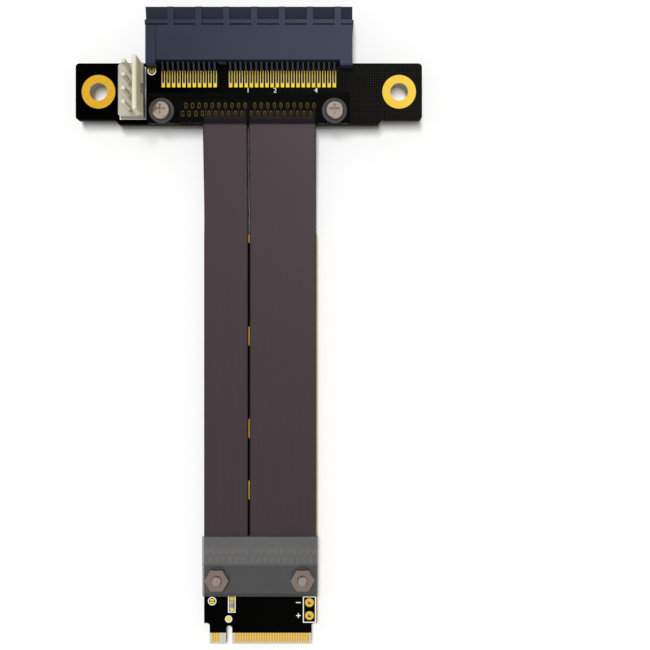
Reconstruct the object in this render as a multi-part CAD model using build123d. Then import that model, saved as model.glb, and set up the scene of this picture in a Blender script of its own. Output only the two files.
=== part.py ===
from build123d import *
import os

# Extension cable from an M.2 edge to an x4 card slot: a small slot board, two flat shielded
# ribbons and a long narrow M.2 board, clamped at both ends.
# Millimetres. X runs across the boards, +Y towards the slot's mouth and +Z up from the surface
# that the cable lies on, which carries the slot housing's back and two screw heads.

# Slot board
SLOT_BOARD_DEPTH = 11.85
SLOT_BOARD_THICKNESS = 1.6
EAR_DEPTH = 10.95
EAR_INNER_WIDTH = 51.6
MIDDLE_WIDTH = 50.0
BOARD_CORNER_RADIUS = 0.75
PLATING = 0.05

# Mounting holes of the slot board
MOUNT_HOLE_END_DISTANCE = 4.42
MOUNT_RING_HEADER_GAP = 1.05
MOUNT_HOLE_DIAMETER = 3.5
MOUNT_HOLE_SETBACK = 5.5
MOUNT_RING_DIAMETER = 6.5

# Card slot housing
HOUSING_LENGTH = 39.4
HOUSING_CENTRE_X = 0.22
HOUSING_DEPTH = 10.07
HOUSING_THICKNESS = 7.5
FOOT_WIDTH = 1.9
FOOT_REACH = 1.0
FOOT_CHAMFER = 0.3
CARD_GAP = 1.8
CARD_TONGUE_LENGTH = 35.2
CARD_TONGUE_CLEARANCE = 0.15
CARD_INSERTION = 8.2
MOUTH_LEAD = 0.5
KEY_THICKNESS = 1.7
RIB_COUNT = 7
RIB_PITCH = 5.3
RIB_WIDTH = 1.18
RIB_ROW_SHIFT = 1.24
WINDOW_REACH = 2.35
WINDOW_MOUTH_DEPTH = 0.2
WINDOW_INNER_DEPTH = 1.05
LEDGE_REACH = 0.8
LEDGE_DEPTH = 0.2
LEDGE_LUG = 0.22
LEDGE_LUG_INSET = 0.6
GROOVE_REACH = 0.38
GROOVE_DEPTH = 0.7
SEAM_WIDTH = 0.18
SEAM_DEPTH = 0.25
REAR_BOSS_WIDTH = 1.4
REAR_BOSS_REACH = 0.35
REAR_BOSS_HEIGHT = 1.1

# Slot contacts
CONTACT_PITCH = 1.0
CONTACT_COUNT_BEFORE_KEY = 11
CONTACT_COUNT_AFTER_KEY = 21
CONTACT_COUNT_SKIPPED = 2
CONTACT_WIDTH = 0.36
CONTACT_THICKNESS = 0.15
CHANNEL_WIDTH = 0.6
CHANNEL_END_WALL = 1.2
CHANNEL_CLEARANCE = 0.1
CONTACT_ENTRY_HEIGHT = 2.25
CONTACT_POINT_HEIGHT = 0.6
CONTACT_POINT_SETBACK = 3.2
CONTACT_TIP_HEIGHT = 1.2
CONTACT_TIP_SETBACK = 1.9
TAIL_REACH = 3.8
TAIL_HEEL = 2.3
LANDING_LENGTH = 3.2
LANDING_WIDTH = 0.75
LANDING_SETBACK = 1.45

# Power header
HEADER_PIN_COUNT = 4
HEADER_PITCH = 2.5
HEADER_WASHER_GAP = 0.935
HEADER_SETBACK = 5.73
HEADER_BASE_LENGTH = 9.9
HEADER_BASE_HEIGHT = 2.7
HEADER_BASE_FRONT = 2.4
HEADER_BASE_BACK = 2.27
HEADER_WALL = 0.83
HEADER_WALL_HEIGHT = 9.56
HEADER_RIDGE = 0.22
HEADER_RIDGE_HEIGHT = 0.4
HEADER_RIDGE_PITCH = 0.9
HEADER_NOTCH_WIDTH = 2.0
HEADER_NOTCH_HEIGHT = 2.2
HEADER_CHAMFER = 0.3
PIN_SIDE = 0.64
PIN_TOP = 10.3
PIN_TAIL = 1.4
PIN_END_CHAMFER = 0.2
PIN_PAD_SIDE = 1.6

# Ribbons
JACKET_LENGTH = 83.1
JACKET_THICKNESS = 0.9
JACKET_EDGE_BEVEL = 0.2
NARROW_JACKET_WIDTH = 8.57
WIDE_JACKET_WIDTH = 13.0
JACKET_GAP = 0.26
JACKET_OVERLAP = 1.5
JACKET_BEND_RADIUS = 24.0
JACKET_DROP_LENGTH = 13.0
JACKET_DROP_SETBACK = 2.5
NARROW_WIRE_COUNT = 13
WIDE_WIRE_COUNT = 20
WIRE_PITCH = 0.635
WIRE_WIDTH = 0.32
WIRE_THICKNESS = 0.12
WIRE_END_MARGIN = 0.3

# Solder pads of the ribbon wires
CABLE_PAD_WIDTH = 0.75
CABLE_PAD_LENGTH = 1.15
SLOT_NEAR_ROW = 0.65
SLOT_FAR_ROW = 2.2
M2_NEAR_ROW = 1.05
M2_FAR_ROW = 2.75
SPARE_PAD_COUNT = 7

# M.2 board
M2_WIDTH = 22.0
M2_LENGTH = 80.0
M2_THICKNESS = 0.8
M2_CENTRE_X = 2.12
M2_TONGUE_WIDTH = 19.85
M2_TONGUE_LENGTH = 4.0
M2_SHOULDER_RADIUS = 0.5
M2_KEY_OFFSET = 6.125
M2_KEY_WIDTH = 1.2
M2_KEY_DEPTH = 3.5
M2_FINGER_PITCH = 0.5
M2_FINGER_WIDTH = 0.35
M2_FINGER_LENGTH = 1.77
M2_FINGER_MARGIN = 0.35
M2_FIRST_FINGER = 9.25
M2_HOLE_DISTANCES = (30.0, 42.0, 60.0)
M2_HOLE_DIAMETER = 3.5
M2_RING_DIAMETER = 5.75
M2_JACKET_SETBACK = 19.2

# Clamps
SLOT_COVER_DEPTH = 5.8
COVER_WALL = 1.1
SLOT_COVER_RIM = 1.2
SLOT_HOLLOW_CLEARANCE = 0.3
SLOT_SCREW_SPACING = 33.0
SLOT_SCREW_SIDE_DISTANCE = 2.8
SLOT_SCREW_SETBACK = 2.3
M2_COVER_WIDTH = 22.3
M2_COVER_START = 21.2
M2_HOOD_DEPTH = 5.5
M2_COVER_DEPTH = 11.8
M2_COVER_THICKNESS = 1.7
M2_COVER_BEVEL = 0.8
M2_SCREW_SPACING = 16.5
M2_SCREW_SETBACK = 13.05
COVER_CHAMFER = 0.15

# Screws, washers and nuts
SCREW_DIAMETER = 2.0
THREAD_CLEARANCE = 0.02
SCREW_HOLE_DIAMETER = 2.2
HEAD_DIAMETER = 3.5
HEAD_HEIGHT = 1.6
HEAD_CHAMFER = 0.45
RECESS_WIDTH = 0.42
RECESS_LENGTH = 1.9
RECESS_DEPTH = 0.85
SLOT_SCREW_LENGTH = 6.0
M2_SCREW_LENGTH = 5.0
WASHER_DIAMETER = 4.75
WASHER_THICKNESS = 0.3
NUT_FLATS = 4.0
NUT_HEIGHT = 1.6
NUT_CHAMFER = 0.25

# Small pieces on the boards
CAPACITOR_LENGTH = 1.35
CAPACITOR_WIDTH = 0.8
CAPACITOR_HEIGHT = 0.8
CAPACITOR_END = 0.2
CAPACITOR_PAD_LENGTH = 0.85
CAPACITOR_OFFSET = -5.6
CAPACITOR_SETBACK = 7.7
JUMPER_LENGTH = 0.8
JUMPER_HALF = 0.36
JUMPER_GAP = 0.14
SLOT_JUMPER_X = -18.72
SLOT_JUMPER_SETBACK = 1.45
M2_JUMPER_OFFSET = -9.43
M2_JUMPER_SETBACK = 8.3
TEST_PAD_DIAMETER = 0.95
TEST_PAD_OFFSET = -6.22
TEST_PAD_SETBACK = 4.8
AUXILIARY_PITCH = 2.54
AUXILIARY_OFFSET = 9.54
AUXILIARY_SETBACK = 6.75
AUXILIARY_RING_DIAMETER = 1.7
AUXILIARY_HOLE_DIAMETER = 0.8

# Places along Y, from the slot's mouth down to the M.2 edge
overall_length = (
    HOUSING_DEPTH + SLOT_BOARD_DEPTH - JACKET_OVERLAP + JACKET_LENGTH + M2_JACKET_SETBACK
)
mouth_y = overall_length / 2
slot_edge_y = mouth_y - HOUSING_DEPTH
slot_board_end_y = slot_edge_y - SLOT_BOARD_DEPTH
jacket_start_y = slot_board_end_y + JACKET_OVERLAP
jacket_end_y = jacket_start_y - JACKET_LENGTH
m2_edge_y = jacket_end_y - M2_JACKET_SETBACK
m2_end_y = m2_edge_y + M2_LENGTH

# Places along Z
slot_middle_z = HOUSING_THICKNESS / 2
slot_bottom_z = slot_middle_z - SLOT_BOARD_THICKNESS / 2
slot_top_z = slot_middle_z + SLOT_BOARD_THICKNESS / 2
m2_bottom_z = HEAD_HEIGHT
m2_top_z = m2_bottom_z + M2_THICKNESS

# Places along X: outwards from the slot cover's screws come the header and the mounting holes
slot_screw_x = SLOT_SCREW_SPACING / 2
header_wall_x = slot_screw_x + WASHER_DIAMETER / 2 + HEADER_WASHER_GAP + HEADER_RIDGE
header_pin_x = -header_wall_x - HEADER_BASE_BACK
header_outer_x = header_pin_x - HEADER_BASE_FRONT
mount_hole_x = -header_outer_x + MOUNT_RING_HEADER_GAP + MOUNT_RING_DIAMETER / 2
slot_board_half = mount_hole_x + MOUNT_HOLE_END_DISTANCE
housing_left_x = HOUSING_CENTRE_X - HOUSING_LENGTH / 2
housing_right_x = HOUSING_CENTRE_X + HOUSING_LENGTH / 2
capacitor_x = M2_CENTRE_X + CAPACITOR_OFFSET
m2_jumper_x = M2_CENTRE_X + M2_JUMPER_OFFSET
test_pad_x = M2_CENTRE_X + TEST_PAD_OFFSET
auxiliary_x = M2_CENTRE_X + AUXILIARY_OFFSET
jackets_width = NARROW_JACKET_WIDTH + JACKET_GAP + WIDE_JACKET_WIDTH
narrow_left_x = M2_CENTRE_X - jackets_width / 2
wide_left_x = narrow_left_x + NARROW_JACKET_WIDTH + JACKET_GAP
narrow_first_wire_x = (
    narrow_left_x + (NARROW_JACKET_WIDTH - (NARROW_WIRE_COUNT - 1) * WIRE_PITCH) / 2
)
wide_first_wire_x = wide_left_x + (WIDE_JACKET_WIDTH - (WIDE_WIRE_COUNT - 1) * WIRE_PITCH) / 2
wide_right_x = wide_left_x + WIDE_JACKET_WIDTH
first_spare_x = narrow_first_wire_x - SPARE_PAD_COUNT * WIRE_PITCH
first_pad_x = first_spare_x - CABLE_PAD_WIDTH / 2


def block(x_range, y_range, z_range):
    """Box between two corners, given as low and high along each axis."""
    sizes = [high - low for low, high in (x_range, y_range, z_range)]
    middles = [(high + low) / 2 for low, high in (x_range, y_range, z_range)]
    return Pos(*middles) * Box(*sizes)


def rod(x, y, z_range, diameter):
    """Upright cylinder."""
    low, high = z_range
    return Pos(x, y, (low + high) / 2) * Cylinder(diameter / 2, high - low)


def washer(x, y, z_range, outer_diameter, inner_diameter):
    """Flat ring."""
    return rod(x, y, z_range, outer_diameter) - rod(x, y, z_range, inner_diameter)


def flat_ring(x, y, z, ring_diameter, hole_diameter):
    """Plated ring round a hole, its lower face at the given height."""
    return washer(x, y, (z, z + PLATING), ring_diameter, hole_diameter)


def pin_block(x, y, z_range):
    """Square stretch of a header pin, which is also the hole that solder leaves round it."""
    half = PIN_SIDE / 2
    return block((x - half, x + half), (y - half, y + half), z_range)


def flat_pad(x, y, z, width, length):
    """Rectangular pad on top of a board."""
    return block(
        (x - width / 2, x + width / 2), (y - length / 2, y + length / 2), (z, z + PLATING)
    )


def side_profile(points, x_range):
    """Closed outline of (y, z) points, extruded along X."""
    low, high = x_range
    face = make_face(Polyline(*[(low, y, z) for y, z in points], close=True))
    return extrude(face, amount=high - low, dir=(1, 0, 0))


def strip_outline(points, thickness):
    """Outline of a strip of even thickness along a bent line of (y, z) points."""
    middle = [Vector(0, y, z) for y, z in points]
    left, right = [], []
    for index, point in enumerate(middle):
        before = middle[max(index - 1, 0)]
        after = middle[min(index + 1, len(middle) - 1)]
        into = (point - before if index else after - point).normalized()
        out = (after - point if index < len(middle) - 1 else point - before).normalized()
        bisector = (into + out).normalized()
        normal = Vector(0, -bisector.Z, bisector.Y)
        half = thickness / 2 / bisector.dot(into)
        left.append(point + normal * half)
        right.append(point - normal * half)
    return [(point.Y, point.Z) for point in left + right[::-1]]


def contact_places():
    """X of every contact of a row, with the gap that the key leaves."""
    key_end = CONTACT_COUNT_BEFORE_KEY + CONTACT_COUNT_SKIPPED
    count = key_end + CONTACT_COUNT_AFTER_KEY
    first = -(count - 1) * CONTACT_PITCH / 2
    skipped = range(CONTACT_COUNT_BEFORE_KEY, key_end)
    return [first + index * CONTACT_PITCH for index in range(count) if index not in skipped]


def key_x():
    """X of the key, midway between the two groups of contacts."""
    places = contact_places()
    return (places[CONTACT_COUNT_BEFORE_KEY - 1] + places[CONTACT_COUNT_BEFORE_KEY]) / 2


def mount_hole_places():
    """Centres of the slot board's two mounting holes."""
    y = slot_edge_y - MOUNT_HOLE_SETBACK
    return [(side * mount_hole_x, y) for side in (-1, 1)]


def slot_screw_places():
    """Centres of the two screws of the slot cover."""
    y = slot_board_end_y + SLOT_SCREW_SETBACK
    return [(side * slot_screw_x, y) for side in (-1, 1)]


def m2_screw_places():
    """Centres of the two screws of the M.2 cover."""
    y = m2_edge_y + M2_SCREW_SETBACK
    return [(M2_CENTRE_X + side * M2_SCREW_SPACING / 2, y) for side in (-1, 1)]


def header_pin_places():
    """Centres of the power header's pins."""
    middle = slot_edge_y - HEADER_SETBACK
    first = middle + (HEADER_PIN_COUNT - 1) * HEADER_PITCH / 2
    return [(header_pin_x, first - index * HEADER_PITCH) for index in range(HEADER_PIN_COUNT)]


def m2_hole_places():
    """Centres of the M.2 board's mounting holes, the last one on its far edge."""
    distances = M2_HOLE_DISTANCES + (M2_LENGTH,)
    return [(M2_CENTRE_X, m2_edge_y + distance) for distance in distances]


def auxiliary_places():
    """Centres of the two auxiliary pads."""
    upper = m2_edge_y + AUXILIARY_SETBACK + AUXILIARY_PITCH / 2
    return [(auxiliary_x, upper), (auxiliary_x, upper - AUXILIARY_PITCH)]


def slot_board():
    """Board with two ears, cut to a chamfered step below them."""
    end_y = slot_board_end_y
    ear_y = slot_edge_y - EAR_DEPTH
    half = slot_board_half
    outline = Polyline(
        (-half, slot_edge_y),
        (-half, ear_y),
        (-EAR_INNER_WIDTH / 2, ear_y),
        (-MIDDLE_WIDTH / 2, end_y),
        (MIDDLE_WIDTH / 2, end_y),
        (EAR_INNER_WIDTH / 2, ear_y),
        (half, ear_y),
        (half, slot_edge_y),
        close=True,
    )
    plate = Pos(0, 0, slot_bottom_z) * extrude(make_face(outline), amount=SLOT_BOARD_THICKNESS)
    corners = [edge for edge in plate.edges().filter_by(Axis.Z) if abs(edge.center().X) > half - PLATING]
    plate = fillet(corners, BOARD_CORNER_RADIUS)
    through = (slot_bottom_z, slot_top_z)
    cuts = [rod(x, y, through, MOUNT_HOLE_DIAMETER) for x, y in mount_hole_places()]
    cuts += [rod(x, y, through, SCREW_HOLE_DIAMETER) for x, y in slot_screw_places()]
    return plate - cuts - [pin_block(x, y, through) for x, y in header_pin_places()]


def slot_mount_rings():
    """Plated rings round the mounting holes, on both faces of the slot board."""
    return [
        flat_ring(x, y, z, MOUNT_RING_DIAMETER, MOUNT_HOLE_DIAMETER)
        for z in (slot_top_z, slot_bottom_z - PLATING)
        for x, y in mount_hole_places()
    ]


def slot_contact_pads():
    """Landing pads under the tails of both contact rows."""
    y = slot_edge_y - LANDING_SETBACK - LANDING_LENGTH / 2
    heights = (slot_top_z, slot_bottom_z - PLATING)
    return [
        flat_pad(x, y, z, LANDING_WIDTH, LANDING_LENGTH)
        for z in heights
        for x in contact_places()
    ]


def cable_pad(x, y, z):
    """Solder pad of one ribbon wire."""
    return flat_pad(x, y, z, CABLE_PAD_WIDTH, CABLE_PAD_LENGTH)


def wire_ends(first_x, count, far_first, near_row, far_row):
    """X and distance from the jacket's end of each wire's pad, near and far in turn."""
    rows = (far_row, near_row) if far_first else (near_row, far_row)
    return [(first_x + index * WIRE_PITCH, rows[index % 2]) for index in range(count)]


def slot_wire_ends():
    """The narrow and the wide ribbon's wires at the slot board."""
    narrow = wire_ends(narrow_first_wire_x, NARROW_WIRE_COUNT, True, SLOT_NEAR_ROW, SLOT_FAR_ROW)
    wide = wire_ends(wide_first_wire_x, WIDE_WIRE_COUNT, False, SLOT_NEAR_ROW, SLOT_FAR_ROW)
    return narrow, wide


def m2_wire_ends():
    """The narrow and the wide ribbon's wires at the M.2 board."""
    narrow = wire_ends(narrow_first_wire_x, NARROW_WIRE_COUNT, False, M2_NEAR_ROW, M2_FAR_ROW)
    wide = wire_ends(wide_first_wire_x, WIDE_WIRE_COUNT, True, M2_NEAR_ROW, M2_FAR_ROW)
    return narrow, wide


def slot_cable_pads():
    """Both rows of pads, with the spare ones beside the narrow ribbon."""
    spare = wire_ends(first_spare_x, SPARE_PAD_COUNT, False, SLOT_NEAR_ROW, SLOT_FAR_ROW)
    narrow, wide = slot_wire_ends()
    return [cable_pad(x, jacket_start_y + row, slot_top_z) for x, row in spare + narrow + wide]


def m2_cable_pads():
    """Both rows of pads at the M.2 board."""
    narrow, wide = m2_wire_ends()
    return [cable_pad(x, jacket_end_y - row, m2_top_z) for x, row in narrow + wide]


def jumper(x, y, z, side_by_side):
    """Two half pads of a solder jumper."""
    shift = (JUMPER_HALF + JUMPER_GAP) / 2
    if side_by_side:
        return [
            flat_pad(x + side * shift, y, z, JUMPER_HALF, JUMPER_LENGTH) for side in (-1, 1)
        ]
    return [flat_pad(x, y + side * shift, z, JUMPER_LENGTH, JUMPER_HALF) for side in (-1, 1)]


def slot_jumper_pads():
    """Solder jumper beside the slot's foot."""
    return jumper(SLOT_JUMPER_X, slot_edge_y - SLOT_JUMPER_SETBACK, slot_top_z, True)


def window_spans():
    """X ranges of the recesses between the ribs, out to both ends of the housing."""
    first = RIB_ROW_SHIFT - (RIB_COUNT - 1) * RIB_PITCH / 2
    ribs = [first + index * RIB_PITCH for index in range(RIB_COUNT)]
    starts = [housing_left_x] + [x + RIB_WIDTH / 2 for x in ribs]
    ends = [x - RIB_WIDTH / 2 for x in ribs] + [housing_right_x]
    return list(zip(starts, ends))


def mirrored_in_slot(shape):
    """The shape turned over to the slot's other face."""
    return mirror(shape, Plane.XY.offset(slot_middle_z))


def window_cutter(x_range):
    """Sloped recess, ledge and groove behind the slot's mouth."""
    top = HOUSING_THICKNESS
    window_y = mouth_y - WINDOW_REACH
    ledge_y = window_y - LEDGE_REACH
    groove_y = ledge_y - GROOVE_REACH
    outline = [
        (mouth_y, top),
        (mouth_y, top - WINDOW_MOUTH_DEPTH),
        (window_y, top - WINDOW_INNER_DEPTH),
        (window_y, top - LEDGE_DEPTH),
        (ledge_y, top - LEDGE_DEPTH),
        (ledge_y, top - GROOVE_DEPTH),
        (groove_y, top - GROOVE_DEPTH),
        (groove_y, top),
    ]
    return side_profile(outline, x_range)


def card_cutter():
    """Slot for the card's edge, widened at the mouth and parted by the key."""
    half_length = CARD_TONGUE_LENGTH / 2 + CARD_TONGUE_CLEARANCE
    half_gap = CARD_GAP / 2
    inner_y = mouth_y - CARD_INSERTION
    lead_y = mouth_y - MOUTH_LEAD
    outline = [
        (mouth_y, slot_middle_z + half_gap + MOUTH_LEAD),
        (lead_y, slot_middle_z + half_gap),
        (inner_y, slot_middle_z + half_gap),
        (inner_y, slot_middle_z - half_gap),
        (lead_y, slot_middle_z - half_gap),
        (mouth_y, slot_middle_z - half_gap - MOUTH_LEAD),
    ]
    key = block(
        (key_x() - KEY_THICKNESS / 2, key_x() + KEY_THICKNESS / 2),
        (inner_y, mouth_y),
        (0, HOUSING_THICKNESS),
    )
    return side_profile(outline, (-half_length, half_length)) - key


def contact_channel(x):
    """Channel that holds one front contact, open to the card slot and to the rear."""
    top = slot_middle_z + CONTACT_ENTRY_HEIGHT + CONTACT_THICKNESS / 2 + CHANNEL_CLEARANCE
    return block(
        (x - CHANNEL_WIDTH / 2, x + CHANNEL_WIDTH / 2),
        (slot_edge_y, mouth_y - CHANNEL_END_WALL),
        (slot_middle_z + CARD_GAP / 2, top),
    )


def slot_feet():
    """Feet at both ends that reach over both faces of the board."""
    feet = []
    inner = -housing_left_x - FOOT_WIDTH
    for x_range in ((housing_left_x, -inner), (inner, housing_right_x)):
        foot = block(
            x_range,
            (slot_edge_y - FOOT_REACH, slot_edge_y),
            (slot_top_z, HOUSING_THICKNESS),
        )
        lower_edges = foot.edges().filter_by(Axis.X).group_by(Axis.Y)[0].sort_by(Axis.Z)
        foot = chamfer(lower_edges[-1], FOOT_CHAMFER)
        feet += [foot, mirrored_in_slot(foot)]
    return feet


def slot_housing():
    """Moulded housing, with ribs and recesses at the mouth and a channel for each contact."""
    x_range = (housing_left_x, housing_right_x)
    body = block(x_range, (slot_edge_y, mouth_y), (0, HOUSING_THICKNESS))
    window_y = mouth_y - WINDOW_REACH
    lugs = block(
        (housing_left_x - LEDGE_LUG, housing_right_x + LEDGE_LUG),
        (window_y - LEDGE_REACH, window_y),
        (LEDGE_LUG_INSET, HOUSING_THICKNESS - LEDGE_LUG_INSET),
    )
    boss = block(
        (key_x() - REAR_BOSS_WIDTH / 2, key_x() + REAR_BOSS_WIDTH / 2),
        (slot_edge_y - REAR_BOSS_REACH, slot_edge_y),
        (slot_top_z, slot_top_z + REAR_BOSS_HEIGHT),
    )
    body += slot_feet() + [lugs, boss, mirrored_in_slot(boss)]
    groove_y = window_y - LEDGE_REACH - GROOVE_REACH
    seam_x = housing_left_x + FOOT_WIDTH
    seam = block(
        (seam_x, seam_x + SEAM_WIDTH),
        (slot_edge_y, groove_y),
        (HOUSING_THICKNESS - SEAM_DEPTH, HOUSING_THICKNESS),
    )
    front_cuts = [window_cutter(span) for span in window_spans()]
    front_cuts += [contact_channel(x) for x in contact_places()]
    front_cuts.append(seam)
    return body - card_cutter() - front_cuts - [mirrored_in_slot(cut) for cut in front_cuts]


def contact_outline():
    """Side view of one front contact: tail on the pad, gull wing, spring arm and tip."""
    foot = slot_top_z + PLATING + CONTACT_THICKNESS / 2
    entry = slot_middle_z + CONTACT_ENTRY_HEIGHT
    inner_y = mouth_y - CARD_INSERTION
    line = [
        (slot_edge_y - TAIL_REACH, foot),
        (slot_edge_y - TAIL_HEEL, foot),
        (slot_edge_y - CONTACT_THICKNESS, entry),
        (inner_y, entry),
        (mouth_y - CONTACT_POINT_SETBACK, slot_middle_z + CONTACT_POINT_HEIGHT),
        (mouth_y - CONTACT_TIP_SETBACK, slot_middle_z + CONTACT_TIP_HEIGHT),
    ]
    return strip_outline(line, CONTACT_THICKNESS)


def slot_contacts_front():
    """Formed strips of the front row."""
    outline = contact_outline()
    half = CONTACT_WIDTH / 2
    return [side_profile(outline, (x - half, x + half)) for x in contact_places()]


def slot_contacts_back():
    """The same strips turned over, for the back row."""
    return [mirrored_in_slot(contact) for contact in slot_contacts_front()]


def power_header_housing():
    """Header base with a locking wall on the slot's side."""
    middle_y = slot_edge_y - HEADER_SETBACK
    y_range = (middle_y - HEADER_BASE_LENGTH / 2, middle_y + HEADER_BASE_LENGTH / 2)
    front_x = -header_wall_x
    base_top = slot_top_z + HEADER_BASE_HEIGHT
    base = block((header_outer_x, front_x), y_range, (slot_top_z, base_top))
    outer_edges = base.edges().filter_by(Axis.Z).group_by(Axis.X)[0]
    base = chamfer(outer_edges, HEADER_CHAMFER)
    wall_x = (front_x - HEADER_WALL, front_x)
    wall = block(wall_x, y_range, (slot_top_z, slot_top_z + HEADER_WALL_HEIGHT))
    wall_top_edges = wall.edges().filter_by(Axis.Y).group_by(Axis.Z)[-1]
    wall = chamfer(wall_top_edges, HEADER_CHAMFER)
    ridges = [
        block(
            (front_x, front_x + HEADER_RIDGE),
            y_range,
            (base_top + index * HEADER_RIDGE_PITCH,
             base_top + index * HEADER_RIDGE_PITCH + HEADER_RIDGE_HEIGHT),
        )
        for index in range(2)
    ]
    notch = block(
        (front_x - HEADER_WALL, front_x + HEADER_RIDGE),
        (middle_y - HEADER_NOTCH_WIDTH / 2, middle_y + HEADER_NOTCH_WIDTH / 2),
        (base_top, base_top + HEADER_NOTCH_HEIGHT),
    )
    pins = [pin_block(x, y, (slot_top_z, base_top)) for x, y in header_pin_places()]
    return base + wall + ridges - notch - pins


def power_header_pins():
    """Square pins, tapered at both ends."""
    pins = []
    for x, y in header_pin_places():
        pin = pin_block(x, y, (slot_bottom_z - PIN_TAIL, slot_top_z + PIN_TOP))
        ends = pin.faces().sort_by(Axis.Z)
        pins.append(chamfer(ends[0].edges() + ends[-1].edges(), PIN_END_CHAMFER))
    return pins


def power_header_pads():
    """Square soldered pads round the header's pins, on the back of the board."""
    z_range = (slot_bottom_z - PLATING, slot_bottom_z)
    return [
        flat_pad(x, y, z_range[0], PIN_PAD_SIDE, PIN_PAD_SIDE) - pin_block(x, y, z_range)
        for x, y in header_pin_places()
    ]


def slot_cover():
    """Clamp plate, hollowed underneath for the ribbons, the wires and their pads."""
    top = slot_top_z + JACKET_THICKNESS + COVER_WALL
    y_range = (slot_board_end_y, slot_board_end_y + SLOT_COVER_DEPTH)
    half = slot_screw_x + SLOT_SCREW_SIDE_DISTANCE
    plate = block((-half, half), y_range, (slot_top_z, top))
    plate = chamfer(plate.faces().sort_by(Axis.Z)[-1].edges(), COVER_CHAMFER)
    hollow = block(
        (first_pad_x - SLOT_HOLLOW_CLEARANCE, wide_right_x + SLOT_HOLLOW_CLEARANCE),
        (y_range[0], y_range[1] - SLOT_COVER_RIM),
        (slot_top_z, slot_top_z + JACKET_THICKNESS),
    )
    holes = [rod(x, y, (slot_top_z, top), SCREW_HOLE_DIAMETER) for x, y in slot_screw_places()]
    return plate - hollow - holes


def m2_cover():
    """Clamp plate with a hood over the ribbon ends and a bevelled foot under the nuts."""
    start_y = m2_edge_y + M2_COVER_START
    step_y = start_y - M2_HOOD_DEPTH
    end_y = start_y - M2_COVER_DEPTH
    hood_under = m2_top_z + JACKET_THICKNESS
    hood_top = hood_under + COVER_WALL
    foot_top = m2_top_z + M2_COVER_THICKNESS
    outline = [
        (start_y, hood_under),
        (start_y, hood_top),
        (step_y, hood_top),
        (step_y, foot_top),
        (end_y + M2_COVER_BEVEL, foot_top),
        (end_y, foot_top - M2_COVER_BEVEL),
        (end_y, m2_top_z),
        (step_y, m2_top_z),
        (step_y, hood_under),
    ]
    x_range = (M2_CENTRE_X - M2_COVER_WIDTH / 2, M2_CENTRE_X + M2_COVER_WIDTH / 2)
    holes = [rod(x, y, (m2_top_z, foot_top), SCREW_HOLE_DIAMETER) for x, y in m2_screw_places()]
    return side_profile(outline, x_range) - holes


def pan_screw(length):
    """Pan head screw with a cross recess, its head's flat underside at Z 0 and its shank below."""
    head = Pos(0, 0, HEAD_HEIGHT / 2) * Cylinder(HEAD_DIAMETER / 2, HEAD_HEIGHT)
    head = chamfer(head.edges().sort_by(Axis.Z)[-1], HEAD_CHAMFER)
    arms = [
        Pos(0, 0, HEAD_HEIGHT - RECESS_DEPTH / 2) * Rot(0, 0, turn)
        * Box(RECESS_LENGTH, RECESS_WIDTH, RECESS_DEPTH)
        for turn in (0, 90)
    ]
    shank = rod(0, 0, (-length, 0), SCREW_DIAMETER - 2 * THREAD_CLEARANCE)
    return head - arms + shank


def hex_nut():
    """Nut standing on Z 0, with bevelled upper edges."""
    outline = RegularPolygon(NUT_FLATS / 2, 6, major_radius=False)
    prism = extrude(outline, amount=NUT_HEIGHT)
    prism = chamfer(prism.faces().sort_by(Axis.Z)[-1].edges(), NUT_CHAMFER)
    return prism - rod(0, 0, (0, NUT_HEIGHT), SCREW_DIAMETER)


def slot_clamp_z():
    """Underside of the washers on the slot cover."""
    return slot_top_z + JACKET_THICKNESS + COVER_WALL


def m2_clamp_z():
    """Underside of the washers on the M.2 cover."""
    return m2_top_z + M2_COVER_THICKNESS


def slot_clamp_screws():
    """Screws through the slot cover, heads up."""
    head_z = slot_clamp_z() + WASHER_THICKNESS
    return [Pos(x, y, head_z) * pan_screw(SLOT_SCREW_LENGTH) for x, y in slot_screw_places()]


def slot_clamp_washers():
    """Washers between the slot cover and the screw heads."""
    z_range = (slot_clamp_z(), slot_clamp_z() + WASHER_THICKNESS)
    return [
        washer(x, y, z_range, WASHER_DIAMETER, SCREW_HOLE_DIAMETER)
        for x, y in slot_screw_places()
    ]


def slot_clamp_nuts():
    """Nuts under the slot board."""
    return [Pos(x, y, slot_bottom_z) * Rot(180, 0, 0) * hex_nut() for x, y in slot_screw_places()]


def m2_clamp_screws():
    """Screws through the M.2 cover, heads down."""
    return [
        Pos(x, y, m2_bottom_z) * Rot(180, 0, 0) * pan_screw(M2_SCREW_LENGTH)
        for x, y in m2_screw_places()
    ]


def m2_clamp_washers():
    """Washers between the M.2 cover and the nuts."""
    z_range = (m2_clamp_z(), m2_clamp_z() + WASHER_THICKNESS)
    return [
        washer(x, y, z_range, WASHER_DIAMETER, SCREW_HOLE_DIAMETER)
        for x, y in m2_screw_places()
    ]


def m2_clamp_nuts():
    """Nuts on the M.2 cover."""
    nut_z = m2_clamp_z() + WASHER_THICKNESS
    return [Pos(x, y, nut_z) * hex_nut() for x, y in m2_screw_places()]


def ribbon(left_x, width):
    """Flat jacket that lies on both boards and steps down between them."""
    upper_z = slot_top_z + JACKET_THICKNESS / 2
    lower_z = m2_top_z + JACKET_THICKNESS / 2
    drop_y = slot_board_end_y - JACKET_DROP_SETBACK
    x = left_x + width / 2
    path = FilletPolyline(
        (x, jacket_start_y, upper_z),
        (x, drop_y, upper_z),
        (x, drop_y - JACKET_DROP_LENGTH, lower_z),
        (x, jacket_end_y, lower_z),
        radius=JACKET_BEND_RADIUS,
    )
    start = Plane(origin=(x, jacket_start_y, upper_z), x_dir=(1, 0, 0), z_dir=(0, -1, 0))
    section = Rectangle(width, JACKET_THICKNESS)
    section = chamfer(section.vertices(), JACKET_EDGE_BEVEL)
    return sweep(start * section, path)


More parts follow.
